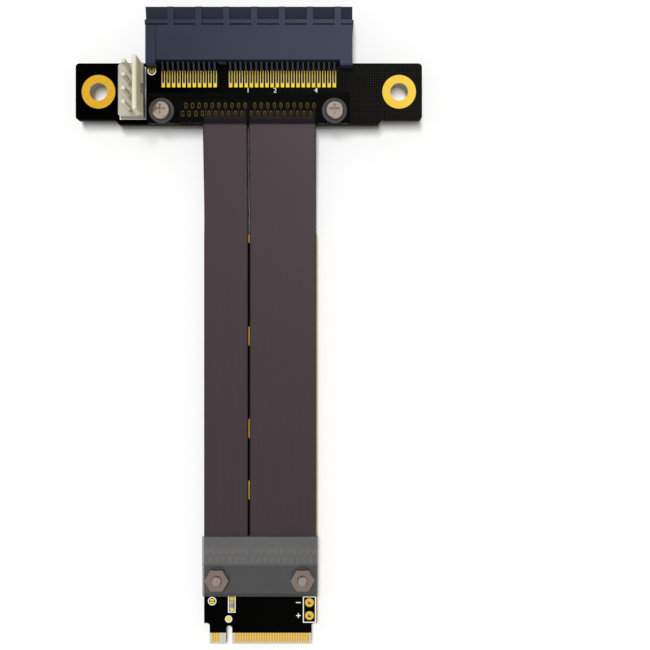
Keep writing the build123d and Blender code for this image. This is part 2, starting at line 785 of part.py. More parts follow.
def wires(ends, jacket_y, direction, board_z):
    """Flat stripped conductors that run out of the jacket's end on to their pads."""
    low = board_z + PLATING
    strips = []
    for x, row in ends:
        reach = row + CABLE_PAD_LENGTH / 2 - WIRE_END_MARGIN
        y_range = sorted((jacket_y, jacket_y + direction * reach))
        x_range = (x - WIRE_WIDTH / 2, x + WIRE_WIDTH / 2)
        strips.append(block(x_range, y_range, (low, low + WIRE_THICKNESS)))
    return strips


def ribbon_narrow_slot_wires():
    """Wires of the narrow ribbon at the slot board."""
    return wires(slot_wire_ends()[0], jacket_start_y, 1, slot_top_z)


def ribbon_wide_slot_wires():
    """Wires of the wide ribbon at the slot board."""
    return wires(slot_wire_ends()[1], jacket_start_y, 1, slot_top_z)


def ribbon_narrow_m2_wires():
    """Wires of the narrow ribbon at the M.2 board."""
    return wires(m2_wire_ends()[0], jacket_end_y, -1, m2_top_z)


def ribbon_wide_m2_wires():
    """Wires of the wide ribbon at the M.2 board."""
    return wires(m2_wire_ends()[1], jacket_end_y, -1, m2_top_z)


def m2_key_cutter():
    """Key notch in the tongue, round at its inner end."""
    x = M2_CENTRE_X - M2_KEY_OFFSET
    round_y = m2_edge_y + M2_KEY_DEPTH - M2_KEY_WIDTH / 2
    z_range = (m2_bottom_z, m2_top_z)
    slot = block((x - M2_KEY_WIDTH / 2, x + M2_KEY_WIDTH / 2), (m2_edge_y, round_y), z_range)
    return slot + rod(x, round_y, z_range, M2_KEY_WIDTH)


def m2_board():
    """Long board with a narrower keyed tongue and a half hole at its far end."""
    half = M2_WIDTH / 2
    z_range = (m2_bottom_z, m2_top_z)
    shoulder_y = m2_edge_y + M2_TONGUE_LENGTH
    body = block((M2_CENTRE_X - half, M2_CENTRE_X + half), (shoulder_y, m2_end_y), z_range)
    tongue_half = M2_TONGUE_WIDTH / 2
    tongue = block(
        (M2_CENTRE_X - tongue_half, M2_CENTRE_X + tongue_half), (m2_edge_y, shoulder_y), z_range
    )
    board = body + tongue
    inner = [
        edge
        for edge in board.edges().filter_by(Axis.Z)
        if abs(edge.center().Y - shoulder_y) < PLATING
        and abs(edge.center().X - M2_CENTRE_X) < half - PLATING
    ]
    board = fillet(inner, M2_SHOULDER_RADIUS)
    cuts = [rod(x, y, z_range, M2_HOLE_DIAMETER) for x, y in m2_hole_places()]
    cuts += [rod(x, y, z_range, SCREW_HOLE_DIAMETER) for x, y in m2_screw_places()]
    cuts += [rod(x, y, z_range, AUXILIARY_HOLE_DIAMETER) for x, y in auxiliary_places()]
    return board - cuts - m2_key_cutter()


def fingers(first_x, numbers, z):
    """Edge contacts, counted from the right."""
    y = m2_edge_y + M2_FINGER_MARGIN + M2_FINGER_LENGTH / 2
    return [
        flat_pad(first_x - number * M2_FINGER_PITCH, y, z, M2_FINGER_WIDTH, M2_FINGER_LENGTH)
        for number in numbers
    ]


def m2_edge_contacts_front():
    """Front contacts: a long group, the key, and the last three."""
    numbers = list(range(29)) + [35, 36, 37]
    return fingers(M2_CENTRE_X + M2_FIRST_FINGER, numbers, m2_top_z)


def m2_edge_contacts_back():
    """Back contacts, half a pitch aside: a long group, the key, and the last four."""
    numbers = list(range(29)) + [33, 34, 35, 36]
    first_x = M2_CENTRE_X + M2_FIRST_FINGER - M2_FINGER_PITCH / 2
    return fingers(first_x, numbers, m2_bottom_z - PLATING)


def m2_mount_rings():
    """Plated rings on the back of the M.2 board, the last one halved by the edge."""
    low = m2_bottom_z - PLATING
    rings = [flat_ring(x, y, low, M2_RING_DIAMETER, M2_HOLE_DIAMETER) for x, y in m2_hole_places()]
    beyond = block(
        (M2_CENTRE_X - M2_RING_DIAMETER, M2_CENTRE_X + M2_RING_DIAMETER),
        (m2_end_y, m2_end_y + M2_RING_DIAMETER),
        (low, m2_bottom_z),
    )
    return rings[:-1] + [rings[-1] - beyond]


def m2_test_pads():
    """Solder jumper and round test pad of the M.2 board."""
    pads = jumper(m2_jumper_x, m2_edge_y + M2_JUMPER_SETBACK, m2_top_z, False)
    z_range = (m2_top_z, m2_top_z + PLATING)
    return pads + [rod(test_pad_x, m2_edge_y + TEST_PAD_SETBACK, z_range, TEST_PAD_DIAMETER)]


def m2_auxiliary_pads():
    """Plated rings round the two auxiliary holes."""
    return [
        flat_ring(x, y, m2_top_z, AUXILIARY_RING_DIAMETER, AUXILIARY_HOLE_DIAMETER)
        for x, y in auxiliary_places()
    ]


def capacitor_piece(y_range):
    """Stretch of the chip capacitor, lying along Y on its pads."""
    middle_y = m2_edge_y + CAPACITOR_SETBACK
    low, high = y_range
    base = m2_top_z + PLATING
    return block(
        (capacitor_x - CAPACITOR_WIDTH / 2, capacitor_x + CAPACITOR_WIDTH / 2),
        (middle_y + low, middle_y + high),
        (base, base + CAPACITOR_HEIGHT),
    )


def chip_capacitor():
    """Ceramic body between the two ends."""
    reach = CAPACITOR_LENGTH / 2 - CAPACITOR_END
    return capacitor_piece((-reach, reach))


def chip_capacitor_ends():
    """Metal ends of the capacitor."""
    half = CAPACITOR_LENGTH / 2
    inner = half - CAPACITOR_END
    return [capacitor_piece((inner, half)), capacitor_piece((-half, -inner))]


def chip_capacitor_pads():
    """Landing pads that reach out from under the capacitor's ends."""
    middle_y = m2_edge_y + CAPACITOR_SETBACK
    reach = CAPACITOR_LENGTH / 2 - CAPACITOR_END + CAPACITOR_PAD_LENGTH / 2
    return [
        flat_pad(
            capacitor_x, middle_y + side * reach, m2_top_z, CAPACITOR_WIDTH, CAPACITOR_PAD_LENGTH
        )
        for side in (-1, 1)
    ]


pieces = {
    "slot_board": slot_board(),
    "slot_mount_rings": slot_mount_rings(),
    "slot_contact_pads": slot_contact_pads(),
    "slot_cable_pads": slot_cable_pads(),
    "slot_jumper_pads": slot_jumper_pads(),
    "slot_housing": slot_housing(),
    "slot_contacts_front": slot_contacts_front(),
    "slot_contacts_back": slot_contacts_back(),
    "power_header_housing": power_header_housing(),
    "power_header_pins": power_header_pins(),
    "power_header_pads": power_header_pads(),
    "slot_cover": slot_cover(),
    "slot_clamp_screws": slot_clamp_screws(),
    "slot_clamp_washers": slot_clamp_washers(),
    "slot_clamp_nuts": slot_clamp_nuts(),
    "ribbon_narrow": ribbon(narrow_left_x, NARROW_JACKET_WIDTH),
    "ribbon_wide": ribbon(wide_left_x, WIDE_JACKET_WIDTH),
    "ribbon_narrow_slot_wires": ribbon_narrow_slot_wires(),
    "ribbon_wide_slot_wires": ribbon_wide_slot_wires(),
    "ribbon_narrow_m2_wires": ribbon_narrow_m2_wires(),
    "ribbon_wide_m2_wires": ribbon_wide_m2_wires(),
    "m2_board": m2_board(),
    "m2_edge_contacts_front": m2_edge_contacts_front(),
    "m2_edge_contacts_back": m2_edge_contacts_back(),
    "m2_mount_rings": m2_mount_rings(),
    "m2_cable_pads": m2_cable_pads(),
    "m2_cover": m2_cover(),
    "m2_clamp_screws": m2_clamp_screws(),
    "m2_clamp_washers": m2_clamp_washers(),
    "m2_clamp_nuts": m2_clamp_nuts(),
    "chip_capacitor": chip_capacitor(),
    "chip_capacitor_ends": chip_capacitor_ends(),
    "chip_capacitor_pads": chip_capacitor_pads(),
    "m2_test_pads": m2_test_pads(),
    "m2_auxiliary_pads": m2_auxiliary_pads(),
}

os.makedirs("parts", exist_ok=True)
for name, made in pieces.items():
    shapes = made if isinstance(made, list) else [made]
    solids = [solid for shape in shapes for solid in shape.solids()]
    export_step(Compound(children=solids), f"parts/{name}.step")
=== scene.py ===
import math

import bmesh
import bpy
from bpy.props import FloatProperty, FloatVectorProperty, PointerProperty
from mathutils import Matrix, Vector


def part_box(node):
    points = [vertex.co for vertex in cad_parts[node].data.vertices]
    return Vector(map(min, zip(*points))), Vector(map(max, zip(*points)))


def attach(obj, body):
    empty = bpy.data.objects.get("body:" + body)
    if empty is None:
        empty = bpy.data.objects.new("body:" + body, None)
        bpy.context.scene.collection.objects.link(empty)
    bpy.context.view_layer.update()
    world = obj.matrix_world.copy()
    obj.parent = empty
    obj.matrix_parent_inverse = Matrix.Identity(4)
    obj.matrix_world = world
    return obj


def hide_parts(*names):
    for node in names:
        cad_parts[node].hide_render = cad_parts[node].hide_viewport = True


bl_info = {
    "name": "Card slot extension cable",
    "version": (1, 0, 0),
    "blender": (4, 5, 0),
    "location": "View3D > Sidebar > Extension cable",
    "description": "Finishes the boards, ribbons and fasteners of a card slot extension cable",
    "category": "Object",
}

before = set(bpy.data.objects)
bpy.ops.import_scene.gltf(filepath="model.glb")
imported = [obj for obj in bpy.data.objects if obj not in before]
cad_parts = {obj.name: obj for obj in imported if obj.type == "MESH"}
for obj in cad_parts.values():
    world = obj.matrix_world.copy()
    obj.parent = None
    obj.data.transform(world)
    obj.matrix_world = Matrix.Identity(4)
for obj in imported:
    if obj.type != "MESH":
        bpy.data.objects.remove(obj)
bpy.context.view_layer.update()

MM = 0.001
TOUCHING = 1e-7


# Settings


def length(name, description, millimetres):
    """Length property, with its default given in millimetres."""
    return FloatProperty(
        name=name, description=description, default=millimetres * MM, min=0.0,
        subtype="DISTANCE", unit="LENGTH", precision=5,
    )


def colour(name, description, red, green, blue):
    """Colour property in linear values."""
    return FloatVectorProperty(
        name=name, description=description, default=(red, green, blue), size=3,
        min=0.0, max=1.0, subtype="COLOR",
    )


class FastenerSizes(bpy.types.PropertyGroup):
    """Sizes of the clamp screws and nuts."""

    head_diameter: length("Head diameter", "Width of a pan head", 3.5)
    head_height: length("Head height", "Height of a pan head", 1.6)
    head_rounding: FloatProperty(
        name="Head rounding", description="Share of the head's height lost at its rim",
        default=0.42, min=0.0, max=0.9, subtype="FACTOR",
    )
    recess_length: length("Recess length", "Length of each arm of the cross recess", 1.9)
    recess_width: length("Recess width", "Width of each arm of the cross recess", 0.42)
    recess_depth: length("Recess depth", "Depth of the cross recess", 0.6)
    thread_diameter: length("Thread diameter", "Outer diameter of the thread", 1.94)
    thread_pitch: length("Thread pitch", "Rise of the thread in one turn", 0.4)
    nut_flats: length("Nut flats", "Width across the flats of a nut", 4.0)
    nut_height: length("Nut height", "Height of a nut", 1.6)
    nut_hole: length("Nut hole", "Diameter of a nut's hole", 2.0)
    nut_countersink: length("Nut countersink", "Width of the bevel at the nut's hole", 0.28)


class PlatingSizes(bpy.types.PropertyGroup):
    """Sizes of the plated rings, pads, solder joints and printed lines."""

    plating: length("Plating", "Thickness of the copper and its gold", 0.05)
    slot_ring: length("Slot ring", "Outer diameter of the slot board's rings", 6.5)
    m2_ring: length("M.2 ring", "Outer diameter of the M.2 board's rings", 5.75)
    mount_hole: length("Mounting hole", "Diameter of the mounting holes", 3.5)
    auxiliary_ring: length("Auxiliary ring", "Outer diameter of the two solder rings", 1.7)
    auxiliary_hole: length("Auxiliary hole", "Diameter of the two solder holes", 0.8)
    pin_ring: length("Pin ring", "Outer diameter of the rings round the header's pins", 1.55)
    pin_ring_width: length("Pin ring width", "Width of those rings' metal", 0.3)
    cable_pad_hole: length("Pad hole", "Width of the oval hole in a cable pad", 0.34)
    cable_pad_rim: length("Pad rim", "Width of the metal round that hole, along the cable", 0.2)
    landing_width: length("Landing width", "Width of a landing pad of the slot", 0.66)
    joint_width: length("Joint width", "Width of a solder joint of the slot", 0.43)
    joint_length: length("Joint length", "Length of a solder joint of the slot", 2.0)
    joint_height: length("Joint height", "Height of a solder joint of the slot", 0.07)
    fillet_foot: length("Fillet foot", "Radius of the solder round a pin, at the board", 0.76)
    fillet_height: length("Fillet height", "Height of the solder round a pin", 0.8)
    print_line: length("Print line", "Width of the printed lines", 0.19)
    print_height: length("Print thickness", "Thickness of the printed ink", 0.02)
    print_digit: length("Digit size", "Size of the printed digits", 1.4)


class RibbonSizes(bpy.types.PropertyGroup):
    """Section and length of the flat jackets."""

    jacket_length: length("Jacket length", "Length of a jacket along its own line", 83.3)
    bare_rim: length("Bare rim", "Board left bare beside the wide jacket", 0.1)
    jacket_thickness: length("Jacket thickness", "Thickness of a jacket", 0.9)
    jacket_rounding: length("Jacket rounding", "Radius of a jacket's edges", 0.42)


class FinishColours(bpy.types.PropertyGroup):
    """Base colours of the finishes."""

    solder_mask: colour("Solder mask", "Black lacquer of both boards", 0.0005, 0.0005, 0.0005)
    mask_hatch: colour("Mask hatch", "Copper hatch seen through the lacquer", 0.019, 0.0188, 0.0162)
    laminate: colour("Laminate", "Cut edges of the glass laminate", 0.46, 0.28, 0.045)
    bare_end: colour("Bare end", "Bare laminate at the edge contacts", 0.585, 0.605, 0.49)
    gold: colour("Gold", "Plated pads and rings", 0.78, 0.44, 0.035)
    # Painted light: a brighter gold that brightens the plating towards the right end.
    gold_painted_light_right: colour("Gold, right", "Plating at the right end", 1.0, 0.68, 0.095)
    # Painted light: a brighter copy of the gold for the small pads.
    landing: colour("Bright gold", "Plating of the small pads", 1.0, 0.7, 0.06)
    finger: colour("Edge contacts", "Plating of the M.2 edge contacts", 0.78, 0.425, 0.0)
    # Painted shade: a dark blue-grey for the plating inside the holes.
    hole_wall_painted_shade: colour("Hole wall", "Plating inside the holes", 0.16, 0.17, 0.2)
    slate: colour("Slate", "Slot housing", 0.0295, 0.0335, 0.052)
    contact: colour("Contact", "Spring contacts of the slot", 0.042, 0.0455, 0.063)
    cream: colour("Cream", "Power header's housing", 0.73, 0.69, 0.565)
    # Painted light: a brighter copy of the cream for the locking wall.
    cream_wall_painted_light: colour("Cream wall", "Power header's locking wall", 0.88, 0.8, 0.57)
    pin: colour("Pin", "Tinned header pins", 0.66, 0.61, 0.51)
    solder: colour("Solder", "Solder joints", 0.55, 0.55, 0.54)
    black_cover: colour("Black cover", "Clamp plate at the slot", 0.0075, 0.0075, 0.0075)
    grey_hood: colour("Grey hood", "Hood of the M.2 clamp plate", 0.192, 0.192, 0.192)
    grey_foot: colour("Grey foot", "Foot of the M.2 clamp plate", 0.155, 0.155, 0.155)
    head: colour("Screw", "Screw heads", 0.43, 0.35, 0.295)
    # Painted shade: a darker copy of the screw colour for the screws seen by their ends.
    screw_end_painted_shade: colour("Screw end", "Screws of the M.2 board, seen by their ends", 0.325, 0.265, 0.223)
    nut: colour("Nut", "Nuts", 0.232, 0.183, 0.152)
    washer: colour("Washer", "Washers", 0.056, 0.056, 0.056)
    jacket: colour("Jacket", "Ribbon jackets", 0.049, 0.0378, 0.0412)
    wire: colour("Wire", "Stripped wires", 0.2, 0.175, 0.13)
    ceramic: colour("Ceramic", "Body of the chip capacitor", 0.3, 0.27, 0.24)
    ink: colour("Ink", "Printed lines and digits", 0.97, 0.97, 0.97)


class StageSettings(bpy.types.PropertyGroup):
    """Floor, light and camera."""

    floor_colour: colour("Floor", "Floor and surroundings", 0.98, 0.98, 0.98)
    floor_reach: length("Floor reach", "Half the width of the floor", 4000.0)
    sky_strength: FloatProperty(
        name="Sky", description="Even light from all around", default=0.27, min=0.0
    )
    lamp_power: FloatProperty(
        name="Lamp power", description="Power of the soft box in watts", default=13300.0, min=0.0
    )
    lamp_place: FloatVectorProperty(
        name="Lamp place", description="Place of the soft box", default=(-2.0, 6.4, 40.0), size=3,
        subtype="XYZ", unit="LENGTH",
    )
    lamp_width: length("Lamp width", "Width of the soft box", 6000.0)
    lamp_length: length("Lamp length", "Length of the soft box, along the cable", 20000.0)
    camera_x: FloatProperty(
        name="Camera X", description="Place of the camera across the boards",
        default=14.7 * MM, subtype="DISTANCE", unit="LENGTH",
    )
    camera_y: FloatProperty(
        name="Camera Y", description="Place of the camera along the cable",
        default=0.79 * MM, subtype="DISTANCE", unit="LENGTH",
    )
    camera_height: length("Camera height", "Height of the camera above the floor", 204.55)
    lens: FloatProperty(name="Lens", description="Focal length in millimetres", default=57.4, min=1.0)


# Nodes

SOCKETS = {
    "Vector": "Vector", "Along": "Vector", "Turn": "Vector", "Geometry": "Geometry",
    "Finish": "Material",
}


def maths(operation):
    """Method that adds a Math node of one operation, and gives its output."""
    def added(net, *values):
        return net.node("ShaderNodeMath", dict(enumerate(values)), operation=operation)[0]
    return added


class Net:
    """A node tree, with short ways to add to it."""

    times, plus, minus, over = map(maths, ("MULTIPLY", "ADD", "SUBTRACT", "DIVIDE"))
    times_plus, power, root, zigzag = map(maths, ("MULTIPLY_ADD", "POWER", "SQRT", "PINGPONG"))
    more, less, most = map(maths, ("GREATER_THAN", "LESS_THAN", "MAXIMUM"))
    size, remainder = map(maths, ("ABSOLUTE", "FRACT"))

    def __init__(self, tree):
        self.tree = tree

    def node(self, kind, inputs=None, **options):
        """Outputs of a new node, with each input joined to its sockets or given a value."""
        made = self.tree.nodes.new(kind)
        for name, value in options.items():
            setattr(made, name, value)
        for key, value in (inputs or {}).items():
            sources = value if isinstance(value, list) else [value]
            if isinstance(sources[0], bpy.types.NodeSocket):
                for source in sources:
                    self.tree.links.new(source, made.inputs[key])
            else:
                made.inputs[key].default_value = value
        return made.outputs

    def mix(self, factor, first, second):
        """Output of a colour mix."""
        return self.node("ShaderNodeMix", {0: factor, 6: first, 7: second}, data_type="RGBA")[2]

    def xyz(self, vector):
        """The three parts of a vector."""
        return self.node("ShaderNodeSeparateXYZ", {0: vector})

    def vector(self, *parts):
        """Vector of three parts."""
        return self.node("ShaderNodeCombineXYZ", dict(enumerate(parts)))[0]

    def up(self, height):
        """Vector that points up by a height."""
        return self.vector(0.0, 0.0, height)

    def rise(self, value, start, end):
        """0 up to the start, 1 from the end on, and even between them."""
        inputs = {"Value": value, "From Min": start, "From Max": end}
        return self.node("ShaderNodeMapRange", inputs)[0]

    def between(self, value, low, high):
        """Value from 0 to 1 spread between two limits."""
        return self.times_plus(value, high - low, low)

    def facing(self, kind="True Normal"):
        """The three parts of the face's direction."""
        return self.xyz(self.node("ShaderNodeNewGeometry")[kind])

    def group(self, name, build, inputs):
        """Outputs of the shared group of that name, built once, on the piece's own coordinates."""
        shared = bpy.data.node_groups.get(name) or build(name)
        return self.node("ShaderNodeGroup", {"Vector": self.place, **inputs}, node_tree=shared)

    def grain(self, scale, contrast):
        """Fine grain and a coarser one."""
        return self.group("Surface grain", grain_group, {"Scale": scale, "Contrast": contrast})

    def streaks(self, along, scale, contrast):
        """Streaks along one axis."""
        inputs = {"Along": along, "Scale": scale, "Contrast": contrast}
        return self.group("Drawn streaks", streak_group, inputs)[0]

    def hatch(self, pitch, share):
        """Lines of a crossed hatch, and their height."""
        return self.group("Crossed hatch", hatch_group, {"Pitch": pitch, "Line share": share})

    def moved(self, shape, place=(0.0, 0.0, 0.0), turn=(0.0, 0.0, 0.0)):
        """The shape put in its place, where either may be a socket."""
        inputs = {"Geometry": shape, "Translation": place, "Rotation": turn}
        return self.node("GeometryNodeTransform", inputs)[0]

    def scaled(self, shape, factor):
        """The shape made larger or smaller about the origin."""
        return self.node("GeometryNodeTransform", {"Geometry": shape, "Scale": (factor,) * 3})[0]

    def cylinder(self, vertices, radius, depth, sides=1, rings=1):
        """Upright cylinder about the origin."""
        return self.node(
            "GeometryNodeMeshCylinder",
            {"Vertices": vertices, "Side Segments": sides, "Fill Segments": rings, "Radius": radius,
             "Depth": depth},
            fill_type="TRIANGLE_FAN",
        )["Mesh"]

    def cone(self, vertices, top, bottom, depth, sides=1):
        """Upright cone that stands on the origin."""
        return self.node(
            "GeometryNodeMeshCone",
            {"Vertices": vertices, "Side Segments": sides, "Radius Top": top, "Radius Bottom": bottom,
             "Depth": depth},
        )["Mesh"]

    def merged(self, shape, distance):
        """The shape with points that lie closer than the distance made one."""
        return self.node("GeometryNodeMergeByDistance", {"Geometry": shape, "Distance": distance})[0]

    def tidied(self, shape):
        """A shape cut in millimetres, with its slivers closed, back in metres."""
        return self.scaled(self.merged(shape, 0.002), MM)

    def cut_away(self, shape, *cutters):
        """The shape less each cutter in turn."""
        shape = self.scaled(shape, 1.0 / MM)
        for cutter in cutters:
            shape = self.node(
                "GeometryNodeMeshBoolean", {"Mesh 1": shape, "Mesh 2": self.scaled(cutter, 1.0 / MM)},
                operation="DIFFERENCE", solver="EXACT",
            )[0]
        return self.tidied(shape)

    def common(self, *shapes):
        """What all the shapes share."""
        scaled = [self.scaled(shape, 1.0 / MM) for shape in shapes]
        return self.tidied(self.node(
            "GeometryNodeMeshBoolean", {"Mesh 2": scaled}, operation="INTERSECT", solver="EXACT"
        )[0])

    def joined(self, *shapes):
        """All the shapes as one."""
        return self.node("GeometryNodeJoinGeometry", {0: list(shapes)})[0]

    def reshaped(self, shape, x, y, z):
        """The shape with its points at other places."""
        inputs = {"Geometry": shape, "Position": self.vector(x, y, z)}
        return self.node("GeometryNodeSetPosition", inputs)[0]

    def rounded(self, width, reach, radius, count=5):
        """Flat rounded rectangle as a curve."""
        inputs = {"Width": width, "Height": reach}
        box = self.node("GeometryNodeCurvePrimitiveQuadrilateral", inputs)[0]
        inputs = {"Curve": box, "Count": count, "Radius": radius, "Limit Radius": True}
        return self.node("GeometryNodeFilletCurve", inputs, mode="POLY")[0]

    def slab(self, outlines, height):
        """Closed plate of a height over flat outlines, the inner ones cut out of it."""
        flat = self.node("GeometryNodeFillCurve", {"Curve": outlines}, mode="TRIANGLES")[0]
        raised = self.node(
            "GeometryNodeExtrudeMesh",
            {"Mesh": flat, "Offset": self.up(1.0), "Offset Scale": height, "Individual": False},
            mode="FACES",
        )[0]
        under = self.node("GeometryNodeFlipFaces", {"Mesh": flat})[0]
        return self.merged(self.joined(raised, under), 1e-6)

    def swept(self, line, section):
        """The section carried along the line, with both ends closed."""
        inputs = {"Curve": line, "Profile Curve": section, "Fill Caps": True}
        return self.node("GeometryNodeCurveToMesh", inputs)[0]

    def end(self, shape, on_points=True):
        """Sets the shape on every point, makes it real and gives it its material."""
        if on_points:
            inputs = {"Points": self.given["Geometry"], "Instance": shape}
            shape = self.node("GeometryNodeInstanceOnPoints", inputs)[0]
        real = self.node("GeometryNodeRealizeInstances", {0: shape})[0]
        inputs = {"Geometry": real, "Material": self.given["Finish"]}
        self.tree.links.new(self.node("GeometryNodeSetMaterial", inputs)[0], self.put[0])
        return self.tree


def new_group(name, kind, inputs, outputs):
    """New node group with named sockets, which are numbers unless listed otherwise."""
    net = Net(bpy.data.node_groups.new(name, kind))
    for direction, labels in (("INPUT", inputs), ("OUTPUT", outputs)):
        for label in labels:
            net.tree.interface.new_socket(
                name=label, in_out=direction, socket_type="NodeSocket" + SOCKETS.get(label, "Float")
            )
    net.given = net.tree.nodes.new("NodeGroupInput").outputs
    net.put = net.tree.nodes.new("NodeGroupOutput").inputs
    return net


def put_spread(net, label, scale, detail, vector):
    """Gives out a noise spread about its middle by the contrast."""
    noise = net.node("ShaderNodeTexNoise", {"Vector": vector, "Scale": scale, "Detail": detail})[0]
    spread = net.times_plus(net.minus(noise, 0.5), net.given["Contrast"], 0.5)
    net.tree.links.new(net.node("ShaderNodeClamp", {0: spread})[0], net.put[label])


def grain_group(name):
    """Fine moulded or cast grain, in a coarse and a fine size."""
    net = new_group(name, "ShaderNodeTree", ["Vector", "Scale", "Contrast"], ["Value", "Coarse"])
    for label, share, detail in (("Value", 1.0, 4.0), ("Coarse", 0.09, 2.0)):
        put_spread(net, label, net.times(net.given["Scale"], share), detail, net.given["Vector"])
    return net.tree


def streak_group(name):
    """Streaks along one axis, as on brushed metal or drawn plastic."""
    net = new_group(name, "ShaderNodeTree", ["Vector", "Along", "Scale", "Contrast"], ["Value"])
    inputs = {0: net.given["Vector"], 1: net.given["Along"]}
    squeezed = net.node("ShaderNodeVectorMath", inputs, operation="MULTIPLY")[0]
    put_spread(net, "Value", net.given["Scale"], 3.0, squeezed)
    return net.tree


def hatch_group(name):
    """Two crossing sets of fine lines, as of a copper hatch or a glass weave."""
    net = new_group(name, "ShaderNodeTree", ["Vector", "Pitch", "Line share"], ["Lines", "Height"])
    bands = []
    for run in net.xyz(net.given["Vector"])[:2]:
        place = net.remainder(net.over(run, net.given["Pitch"]))
        bands.append(net.less(net.size(net.minus(place, 0.5)), net.given["Line share"]))
    net.tree.links.new(net.most(*bands), net.put["Lines"])
    net.tree.links.new(net.times(net.plus(*bands), 0.5), net.put["Height"])
    return net.tree


def ply_group(name):
    """Layers of a cut laminate edge, one above the other."""
    net = new_group(name, "ShaderNodeTree", ["Vector", "Ply"], ["Layers"])
    wobble = net.node("ShaderNodeTexNoise", {"Vector": net.given["Vector"], "Scale": 900.0})[0]
    raised = net.times_plus(wobble, 0.00006, net.xyz(net.given["Vector"])[2])
    place = net.remainder(net.over(raised, net.given["Ply"]))
    net.tree.links.new(net.zigzag(net.times(place, 2.0), 1.0), net.put["Layers"])
    return net.tree


def rgba(values, factor=1.0):
    """Four colour values from three, made darker or lighter."""
    return tuple(min(value * factor, 1.0) for value in values) + (1.0,)


def material(name, **constants):
    """Tree of a new material, with its constants set."""
    made = bpy.data.materials.new(name)
    made.use_nodes = True
    net = Net(made.node_tree)
    net.material, net.shader = made, made.node_tree.nodes["Principled BSDF"].inputs
    net.place = net.node("ShaderNodeTexCoord")["Object"]
    for key, value in constants.items():
        net.shader[key.replace("_", " ")].default_value = value
    return net


def paint(net, tone, roughness=None, height=None, bump=0.1):
    """Joins colour, roughness and a bump to the material's shader, and gives the material."""
    net.tree.links.new(tone, net.shader["Base Color"])
    if height is not None:
        inputs = {"Strength": bump, "Distance": 0.02 * MM, "Height": height}
        net.tree.links.new(roughness, net.shader["Roughness"])
        net.tree.links.new(net.node("ShaderNodeBump", inputs)[0], net.shader["Normal"])
    return net.material


def once(name, build, *values, **options):
    """The material of that name, built the first time that it is asked for."""
    return bpy.data.materials.get(name) or build(name, *values, **options)


# Materials


def board_material(name, hatch_strength, bare_end_y=None, rim_x=None):
    """Black lacquer with a faint hatch, brighter towards the right as painted light, over tan laminate
    at the slanted cut edges, the straight walls darkened as painted shade.
    """
    colours = bpy.context.scene.cable_colours
    inner_reach = 30 * MM
    net = material(name, Specular_IOR_Level=0.005, IOR=1.5)
    fine, coarse = net.grain(5200.0, 1.2)
    lines, weight = net.hatch(pitch=0.48 * MM, share=0.18)
    layers = net.group("Laminate plies", ply_group, {"Ply": 0.2 * MM})[0]
    x, y, _ = net.xyz(net.place)
    # The hatch is the board's own; its rise towards the right is painted light that brightens that
    # side.
    seen = net.times(net.rise(x, -14 * MM, 34 * MM), net.between(lines, 1.15, 0.25))
    seen = net.times(seen, net.between(coarse, 0.8 * hatch_strength, 1.2 * hatch_strength))
    lacquer = net.mix(seen, rgba(colours.solder_mask), rgba(colours.mask_hatch))
    layered = net.times_plus(layers, 0.5, net.times(fine, 0.5))
    cut = net.mix(layered, rgba(colours.laminate, 0.72), rgba(colours.laminate, 1.25))
    # Painted shade: the straight cut walls are darkened nearly to black.
    painted_shade_walls = net.mix(layered, rgba(colours.laminate, 0.03), rgba(colours.laminate, 0.07))
    facing_x, facing_y, facing_z = net.facing()
    upright = net.size(facing_z)
    slanted = net.more(net.size(net.times(facing_x, facing_y)), 0.2)
    bare = net.times(slanted, net.less(net.size(x), inner_reach))
    if rim_x is not None:
        bare = net.most(bare, net.more(x, rim_x))
    surface = net.mix(net.less(upright, 0.5), lacquer, painted_shade_walls)
    surface = net.mix(bare, surface, cut)
    if bare_end_y is not None:
        weave = net.hatch(pitch=0.7 * MM, share=0.25)[1]
        glass = net.mix(weave, rgba(colours.bare_end), rgba(colours.bare_end, 0.93))
        end = net.times(net.less(y, bare_end_y), net.more(upright, 0.5))
        surface = net.mix(end, surface, glass)
    height = net.times_plus(weight, 0.5, fine)
    return paint(net, surface, net.between(coarse, 0.32, 0.5), height, 0.12)


def metal_material(name, base, low, high, scale=3000.0, along=(1.0, 1.0, 1.0), darkest=0.86,
                   top=1.0, slope=1.0, right=None, wall=None):
    """Metal with slight streaks in its colour and roughness.

    Top: tone of the faces that look up, painted light. slope: tone of all faces that don't look
    straight up, a painted highlight. Right:
    colour at the right end, painted light. Wall: colour of the walls, painted shade.
    """
    net = material(name, Metallic=1.0)
    drawn = net.streaks(along, scale, 1.6)
    coarse = net.grain(scale * 2, 1.2)[1]
    tone = net.mix(drawn, rgba(base, darkest), rgba(base, 1.06))
    # Painted light towards the right end.
    if right is not None:
        tone = net.mix(net.rise(net.xyz(net.place)[0], 4 * MM, 34 * MM), tone, rgba(right))
    level = net.facing()[2]
    # Painted light on the faces that look up.
    if top != 1.0:
        tone = net.mix(net.rise(level, 0.3, 0.8), tone, rgba(base, top))
    # Painted highlight on every face that doesn't look straight up.
    if slope != 1.0:
        tone = net.mix(net.rise(level, 0.87, 0.8), tone, rgba(base, slope))
    # Painted shade on the walls.
    if wall is not None:
        tone = net.mix(net.rise(net.size(level), 0.5, 0.2), tone, rgba(wall))
    return paint(net, tone, net.between(coarse, low, high), drawn, 0.06)


